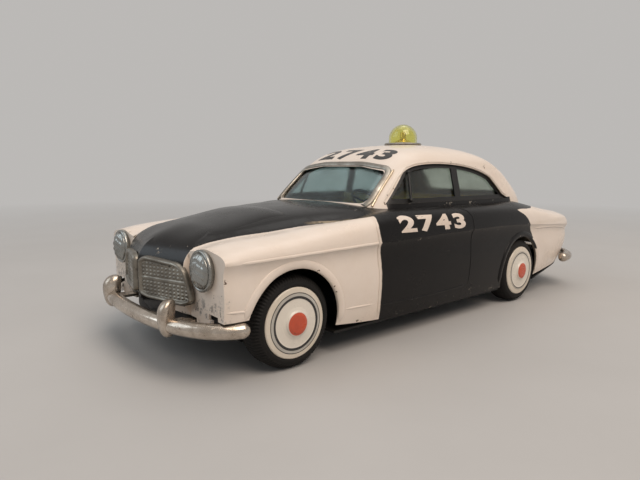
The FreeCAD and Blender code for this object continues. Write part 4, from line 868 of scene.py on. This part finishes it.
def headlamp(word, side):
    """Rolled rim round a domed face with its pressed pattern."""
    x, y, z = LAMP_CENTRE
    centre = place(side * x, y, z)
    turns = [math.pi / 2 * k / LAMP_FACE_ROWS for k in range(LAMP_FACE_ROWS)]
    dome = [(LAMP_FACE_RADIUS * math.cos(a), LAMP_FACE_FOOT + LAMP_FACE_RISE * math.sin(a)) for a in turns]
    profile = LAMP_RIM + dome
    rows = len(profile)
    points = []
    faces = []
    for i in range(LAMP_STEPS):
        a = 2 * math.pi * i / LAMP_STEPS
        for j, (r, h) in enumerate(profile):
            x = r * math.cos(a)
            z = r * math.sin(a)
            if j >= len(LAMP_RIM):
                h += lamp_pattern(x, z, r)
            points.append(centre + Vector((x, -h, z)) * MM)
    tip = len(points)
    points.append(centre + Vector((0, -(LAMP_FACE_FOOT + LAMP_FACE_RISE), 0)) * MM)
    for i in range(LAMP_STEPS):
        k = (i + 1) % LAMP_STEPS
        for j in range(rows - 1):
            faces.append((i * rows + j, i * rows + j + 1, k * rows + j + 1, k * rows + j))
        faces.append((i * rows + rows - 1, tip, k * rows + rows - 1))
    obj = piece("headlamp_face_" + word, points, faces, "dull_nickel", lamp_metal, sharp=60.0)
    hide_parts("headlamp_" + word)


# ---- tyres ----
# (radius, distance inwards from the tyre's outer plane, depth of the cut between two ribs)
TYRE_PROFILE = [(8.6, 0.5, 0), (10.05, 0.5, 0), (10.25, 0.2, 0), (10.7, 0.13, 0), (11.1, 0.22, 0),
                (11.35, 0.40, 0), (11.6, 0.36, 0), (12.2, 0.75, 0.40), (12.75, 1.35, 0.40),
                (13.05, 2.0, 0.40), (13.2, 2.75, 0.10), (13.2, 6.5, 0.10), (13.05, 7.2, 0.40),
                (12.7, 7.9, 0.40), (11.9, 8.6, 0), (10.8, 9.0, 0), (8.6, 9.0, 0)]
TYRE_FACE = 37.0  # middle plane to a tyre's outer plane
RIBS = 84
RIB_STEPS = 4  # two on each rib and two in the cut beside it


def tyre(end, word, side):
    """Tyre with cross ribs on its shoulders and tread."""
    centre = place(side * TYRE_FACE, AXLES[end], WHEEL_HEIGHT)
    inward = Vector((-side, 0, 0))
    upward = inward.cross(Y_AXIS)
    steps = RIBS * RIB_STEPS
    points = []
    for i in range(steps):
        a = 2 * math.pi * i / steps
        out = Y_AXIS * math.cos(a) + upward * math.sin(a)
        for r, h, cut in TYRE_PROFILE:
            if i % RIB_STEPS >= 2:
                r -= cut
            points.append(centre + out * r * MM + inward * h * MM)
    faces = rows_of_faces(steps, len(TYRE_PROFILE), closed=True)
    obj = piece("tyre_ribbed_%s_%s" % (end, word), points, faces, "tyre_rubber", body=end + "_wheels",
                sharp=50.0)
    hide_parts("tyre_%s_%s" % (end, word))


# ---- drip rails ----
SIDE_WINDOW = [(44.6, 43.6), (48.9, 47.8), (53.2, 52.0), (57.4, 55.2), (61.6, 56.4), (67.0, 57.0),
               (76.0, 57.2), (85.0, 56.8), (94.0, 55.7), (101.0, 54.1), (106.6, 51.9), (113.6, 45.3),
               (118.0, 43.7)]
RAIL_OFFSET = 0.75  # from the window's edge


def drip_rail(word, side):
    """Bead over the side windows."""
    guides = []
    for i, (y, z) in enumerate(SIDE_WINDOW):
        y0, z0 = SIDE_WINDOW[max(i - 1, 0)]
        y1, z1 = SIDE_WINDOW[min(i + 1, len(SIDE_WINDOW) - 1)]
        length = math.hypot(y1 - y0, z1 - z0)
        guides.append((y - (z1 - z0) / length * RAIL_OFFSET, z + (y1 - y0) / length * RAIL_OFFSET))
    line = side_line(roof_tree, guides, side, 90)
    bead("drip_rail_" + word, line, 0.50, 0.34, "cream_enamel", taper=4)


# ---- rolled edge of the bonnet over the nose ----
BROW_AXIS = (-8.0, 26.0)  # (y, z) of the line that the skin is measured from
BROW_HALF = 18.6
BROW_ANGLES = (-52.0, 124.0)  # first angle from upright and sweep towards the nose
BROW_COLUMNS = 61
BROW_ROWS = 66
BROW_REACH = 60.0
BROW_MISS = 12.0  # reach where no ray meets the body
BROW_LIFT = 0.03
BROW_SINK = 0.12
BROW_DEEP = 0.35


def worked(grid, rounds, rule):
    """Copy of a grid after rounds in which its inner values follow their neighbours, edges held."""
    for _ in range(rounds):
        old = grid
        grid = [row[:] for row in old]
        for i in range(1, len(grid) - 1):
            for j in range(1, len(grid[i]) - 1):
                grid[i][j] = rule(old[i][j], (old[i - 1][j], old[i + 1][j], old[i][j - 1], old[i][j + 1]))
    return grid


def brow_reach(xs, angles):
    """Distance from the brow's axis to the body, column by column."""
    grid = []
    for x in xs:
        column = []
        for a in angles:
            ray = Vector((0, -math.sin(a), math.cos(a)))
            start = place(x, *BROW_AXIS) + ray * BROW_REACH * MM
            hit, _, _, distance = body_tree.ray_cast(start, -ray, BROW_REACH * MM)
            if hit is None:
                column.append(column[-1] if column else BROW_MISS)
            else:
                column.append(BROW_REACH - distance / MM)
        grid.append(column)
    return grid


def brow_skin():
    """Thin skin over the front of the bonnet: the body's surface with its fold rounded off."""
    first, sweep = BROW_ANGLES
    xs = [BROW_HALF * (2.0 * i / (BROW_COLUMNS - 1) - 1.0) for i in range(BROW_COLUMNS)]
    angles = [math.radians(first + sweep * j / (BROW_ROWS - 1)) for j in range(BROW_ROWS)]
    reach = brow_reach(xs, angles)
    soft = worked(reach, 46, lambda own, around: sum(around) / 4)
    lift = [[max(0.0, a - b) for a, b in zip(*columns)] for columns in zip(reach, soft)]
    lift = worked(lift, 5, lambda own, around: max(own, *around))
    lift = worked(lift, 40, lambda own, around: sum(around) / 4)
    outer = []
    inner = []
    for i, x in enumerate(xs):
        for j, a in enumerate(angles):
            ray = Vector((0, -math.sin(a), math.cos(a)))
            from_edge = min(i, BROW_COLUMNS - 1 - i, j, BROW_ROWS - 1 - j)
            proud = BROW_LIFT * min(from_edge, 3) / 3 if from_edge else -BROW_SINK
            outer.append(place(x, *BROW_AXIS) + ray * (soft[i][j] + lift[i][j] + proud) * MM)
            inner.append(place(x, *BROW_AXIS) + ray * (reach[i][j] - BROW_DEEP) * MM)
    top = len(outer)
    faces = []
    for i in range(BROW_COLUMNS - 1):
        for j in range(BROW_ROWS - 1):
            a = i * BROW_ROWS + j
            b = a + BROW_ROWS
            faces.append((a, a + 1, b + 1, b))
            faces.append((top + a, top + b, top + b + 1, top + a + 1))
    rim = [i * BROW_ROWS for i in range(BROW_COLUMNS)]
    rim += [(BROW_COLUMNS - 1) * BROW_ROWS + j for j in range(1, BROW_ROWS)]
    rim += [i * BROW_ROWS + BROW_ROWS - 1 for i in reversed(range(BROW_COLUMNS - 1))]
    rim += reversed(range(1, BROW_ROWS - 1))
    for k, a in enumerate(rim):
        b = rim[(k + 1) % len(rim)]
        faces.append((a, b, top + b, top + a))
    piece("bonnet_brow", outer + inner, faces, "black_enamel", sharp=180.0)


# ---- valance behind the front bumper ----
VALANCE_NOSE = -25.4  # y at the middle of the car
VALANCE_BOW = 0.0112  # how fast it runs back from there, per millimetre squared
VALANCE_HALF = 17.0  # half width of the bowed stretch
VALANCE_STEPS = 40
VALANCE_ENDS = ((19.0, -20.1), (24.5, -20.1))
VALANCE_LEVELS = (12.2, 18.4)
VALANCE_THICK = 0.6


def valance():
    """Upright strip that closes the gap under the nose."""
    line = [(-x, y) for x, y in reversed(VALANCE_ENDS)]
    for i in range(VALANCE_STEPS + 1):
        x = -VALANCE_HALF + 2 * VALANCE_HALF * i / VALANCE_STEPS
        line.append((x, VALANCE_NOSE + VALANCE_BOW * x ** 2))
    line += VALANCE_ENDS
    low, high = VALANCE_LEVELS
    points = []
    for x, y in line:
        behind = y + VALANCE_THICK
        points += [place(x, y, low), place(x, y, high), place(x, behind, high), place(x, behind, low)]
    piece("front_valance", points, rows_of_faces(len(line), 4), "base_black", sharp=30.0)


# ---- windscreen and backlight mouldings ----
# Half width at the foot and head, height of the foot and head, and the head's rise in the middle.
SCREENS = {"windscreen": (24.1, 22.7, 43.6, 54.4, 1.9), "backlight": (21.0, 17.5, 46.0, 55.6, 1.4)}
SCREEN_GROW = 0.95
SCREEN_CORNER = 3.0
PILLAR_BEAD = [(26.3, 42.3), (25.9, 45.5), (25.35, 49.5), (24.75, 53.4), (24.4, 54.9)]


def screen_outline(lower, upper, foot, head, crown):
    """Outline of a screen's moulding, seen along the car."""
    grow = SCREEN_GROW
    points = [(-lower - grow, foot - grow), (lower + grow, foot - grow), (upper + grow, head + grow),
              (0.45 * upper, head + 0.9 * crown + grow), (-0.45 * upper, head + 0.9 * crown + grow),
              (-upper - grow, head + grow)]
    return even_ring(rounded(points, SCREEN_CORNER, 7), 220)


def screen_line(outline, front):
    """Line of (point, normal) on the front or the back of the cabin over (x, z) points."""
    start, ray = (RAY_FRONT, Y_AXIS) if front else (RAY_REAR, -Y_AXIS)
    hits = [roof_tree.ray_cast(place(q.x, start, q.y), ray)[:2] for q in outline]
    return [(hit, normal) for hit, normal in hits if hit is not None]


def moulding(name):
    """Rolled frame round the windscreen or the backlight."""
    line = screen_line(screen_outline(*SCREENS[name]), name == "windscreen")
    obj = bead(name + "_moulding", line, 1.12, 0.6, "dull_nickel", closed=True, steps=10)
    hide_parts(name + "_trim")


def pillar_bead(word, side):
    """Bright bead beside the windscreen."""
    guides = resample([Vector((side * x, z, 0)) for x, z in PILLAR_BEAD], 50)
    bead("windscreen_bead_" + word, screen_line(guides, True), 0.42, 0.62, "dull_nickel", champagne,
         taper=2, steps=8, fade=0.5)


# ---- overriders ----
# (height, front, back, width) of each level, from the foot up.
FRONT_HORN = [(11.35, -29.9, -28.3, 2.2), (11.6, -30.5, -27.9, 3.2), (12.3, -31.05, -27.5, 3.9),
              (13.6, -31.5, -27.3, 4.3), (15.2, -31.8, -27.2, 4.5), (16.8, -31.95, -27.1, 4.6),
              (18.2, -31.85, -27.0, 4.5), (19.3, -31.45, -26.9, 4.25), (20.2, -30.8, -26.9, 3.8),
              (20.8, -30.1, -27.1, 3.1), (21.15, -29.3, -27.5, 2.2), (21.25, -28.8, -27.9, 1.2)]
REAR_HORN = [(11.4, 180.6, 182.0, 1.8), (11.8, 180.2, 182.7, 2.8), (12.8, 180.0, 183.0, 3.5),
             (14.6, 179.9, 183.1, 3.9), (16.4, 179.9, 183.1, 3.9), (18.0, 179.9, 183.0, 3.7),
             (19.2, 180.0, 182.6, 3.2), (20.0, 180.3, 182.0, 2.4), (20.3, 180.6, 181.6, 1.4)]
HORNS = {"front": (FRONT_HORN, -0.25), "rear": (REAR_HORN, 0.2)}
HORN_OFFSET = 20.0  # middle plane to a horn
HORN_STEPS = 28


def horn(end, word, side):
    """Blunt plated horn; lean slants each level with the bumper's curve."""
    levels, lean = HORNS[end]
    points = []
    for z, front, behind, width in levels:
        middle = (front + behind) / 2
        deep = abs(behind - front) / 2
        for i in range(HORN_STEPS):
            a = 2 * math.pi * i / HORN_STEPS
            c = math.cos(a)
            s = math.sin(a)
            x = width / 2 * math.copysign(abs(c) ** 0.72, c)
            y = deep * math.copysign(abs(s) ** 0.82, s)
            points.append(place(side * (HORN_OFFSET + x + lean * y), middle + y, z))
    faces = rows_of_faces(len(levels), HORN_STEPS)
    obj = piece("horn_%s_%s" % (end, word), points, faces, "tarnished_chrome", sharp=60.0)
    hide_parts("%s_overrider_%s" % (end, word))


# ---- all the pieces ----
for word, side in SIDES:
    body_details(word, side)
    lay_number("door_number_" + word, door_spot(side), DOOR_TEXT, "cream_enamel", number_white)
    grille(word, side)
    headlamp(word, side)
    drip_rail(word, side)
    pillar_bead(word, side)
    for end in AXLES:
        tyre(end, word, side)
        horn(end, word, side)
for name in SCREENS:
    moulding(name)
lay_number("roof_number", roof_spot, ROOF_TEXT, "black_enamel", number_black)
brow_skin()
valance()

# ---- floor, light and backdrop ----
PALE = (0.50, 0.485, 0.47)
FLOOR_HALF = 6.0  # metres
FLOOR_DROP = 0.00005  # just under the wheels
FLOOR_FADE = (0.25, 0.75)  # metres from the car between which the floor turns into backdrop


def seen(tree):
    """1 for camera, mirror and glass rays."""
    path = tree.nodes.new("ShaderNodeLightPath")
    total = path.outputs["Is Camera Ray"]
    for name in ("Is Glossy Ray", "Is Transmission Ray"):
        either = tree.nodes.new("ShaderNodeMath")
        either.operation = "MAXIMUM"
        tree.links.new(total, either.inputs[0])
        tree.links.new(path.outputs[name], either.inputs[1])
        total = either.outputs[0]
    return total


def floor_material():
    """Pale matt floor with faint patches and specks, which far off glows like the backdrop."""
    net = Net("floor_grey")
    x, y, _ = net.split(net.object_place())
    patches = net.above(net.noise(9.0, 5.0, 0.6), 0.3, 0.75)
    specks = net.above(net.noise(420.0, 4.0, 0.7), 0.68, 0.74)
    tone = net.mix(patches, PALE, (0.455, 0.44, 0.425))
    tone = net.mix(net.times(specks, 0.25), tone, (0.40, 0.385, 0.37))
    net.shader(base_color=tone, roughness=0.6, normal=net.bump(net.noise(160.0, 5.0), 0.10))
    near = net.out.inputs[0].links[0].from_socket
    glow = net.add("Emission")
    net.feed(glow.inputs["Color"], PALE)
    net.feed(glow.inputs["Strength"], seen(net.tree))
    blend = net.add("MixShader")
    net.feed(blend.inputs[0], net.above(net.away(x, y), *FLOOR_FADE))
    net.feed(blend.inputs[1], near)
    net.feed(blend.inputs[2], glow.outputs[0])
    net.feed(net.out.inputs[0], blend.outputs[0])
    return net.material


def make_floor():
    mesh = bpy.data.meshes.new("floor")
    corners = [(-1, -1), (1, -1), (1, 1), (-1, 1)]
    mesh.from_pydata([(x * FLOOR_HALF, y * FLOOR_HALF, 0) for x, y in corners], [], [(0, 1, 2, 3)])
    mesh.materials.append(floor_material())
    floor = bpy.data.objects.new("floor", mesh)
    floor.location.z = -FLOOR_DROP
    scene.collection.objects.link(floor)


def make_world():
    """Soft daylight on the car, and the floor's own colour where the backdrop itself is seen."""
    world = bpy.data.worlds.new("studio")
    world.use_nodes = True
    scene.world = world
    tree = world.node_tree
    tree.nodes.clear()
    choose = tree.nodes.new("ShaderNodeMixShader")
    tree.links.new(seen(tree), choose.inputs[0])
    for socket, colour, strength in ((1, (0.96, 0.98, 1.0), 0.32), (2, PALE, 1.0)):
        light = tree.nodes.new("ShaderNodeBackground")
        light.inputs["Color"].default_value = (*colour, 1.0)
        light.inputs["Strength"].default_value = strength
        tree.links.new(light.outputs[0], choose.inputs[socket])
    result = tree.nodes.new("ShaderNodeOutputWorld")
    tree.links.new(choose.outputs[0], result.inputs[0])


def lamp(name, spot, target, power, width, colour):
    """Square soft lamp that faces a target, in metres and watts."""
    data = bpy.data.lights.new(name, "AREA")
    data.shape = "SQUARE"
    data.size = width
    data.energy = power
    data.color = colour
    obj = bpy.data.objects.new(name, data)
    obj.location = spot
    obj.rotation_euler = (Vector(target) - Vector(spot)).to_track_quat("-Z", "Y").to_euler()
    scene.collection.objects.link(obj)


make_floor()
make_world()
lamp("key", (0.70, -0.10, 1.00), (0.0, 0.0, 0.03), 8.8, 0.8, (1.0, 0.86, 0.74))
lamp("fill", (-0.7, -1.0, 0.75), (0.0, -0.03, 0.03), 3.6, 0.9, (0.78, 0.90, 1.0))
lamp("top", (0.0, 0.2, 1.3), (0.0, 0.0, 0.0), 4.8, 1.3, (1.0, 0.98, 0.95))
scene.view_settings.view_transform = "Standard"
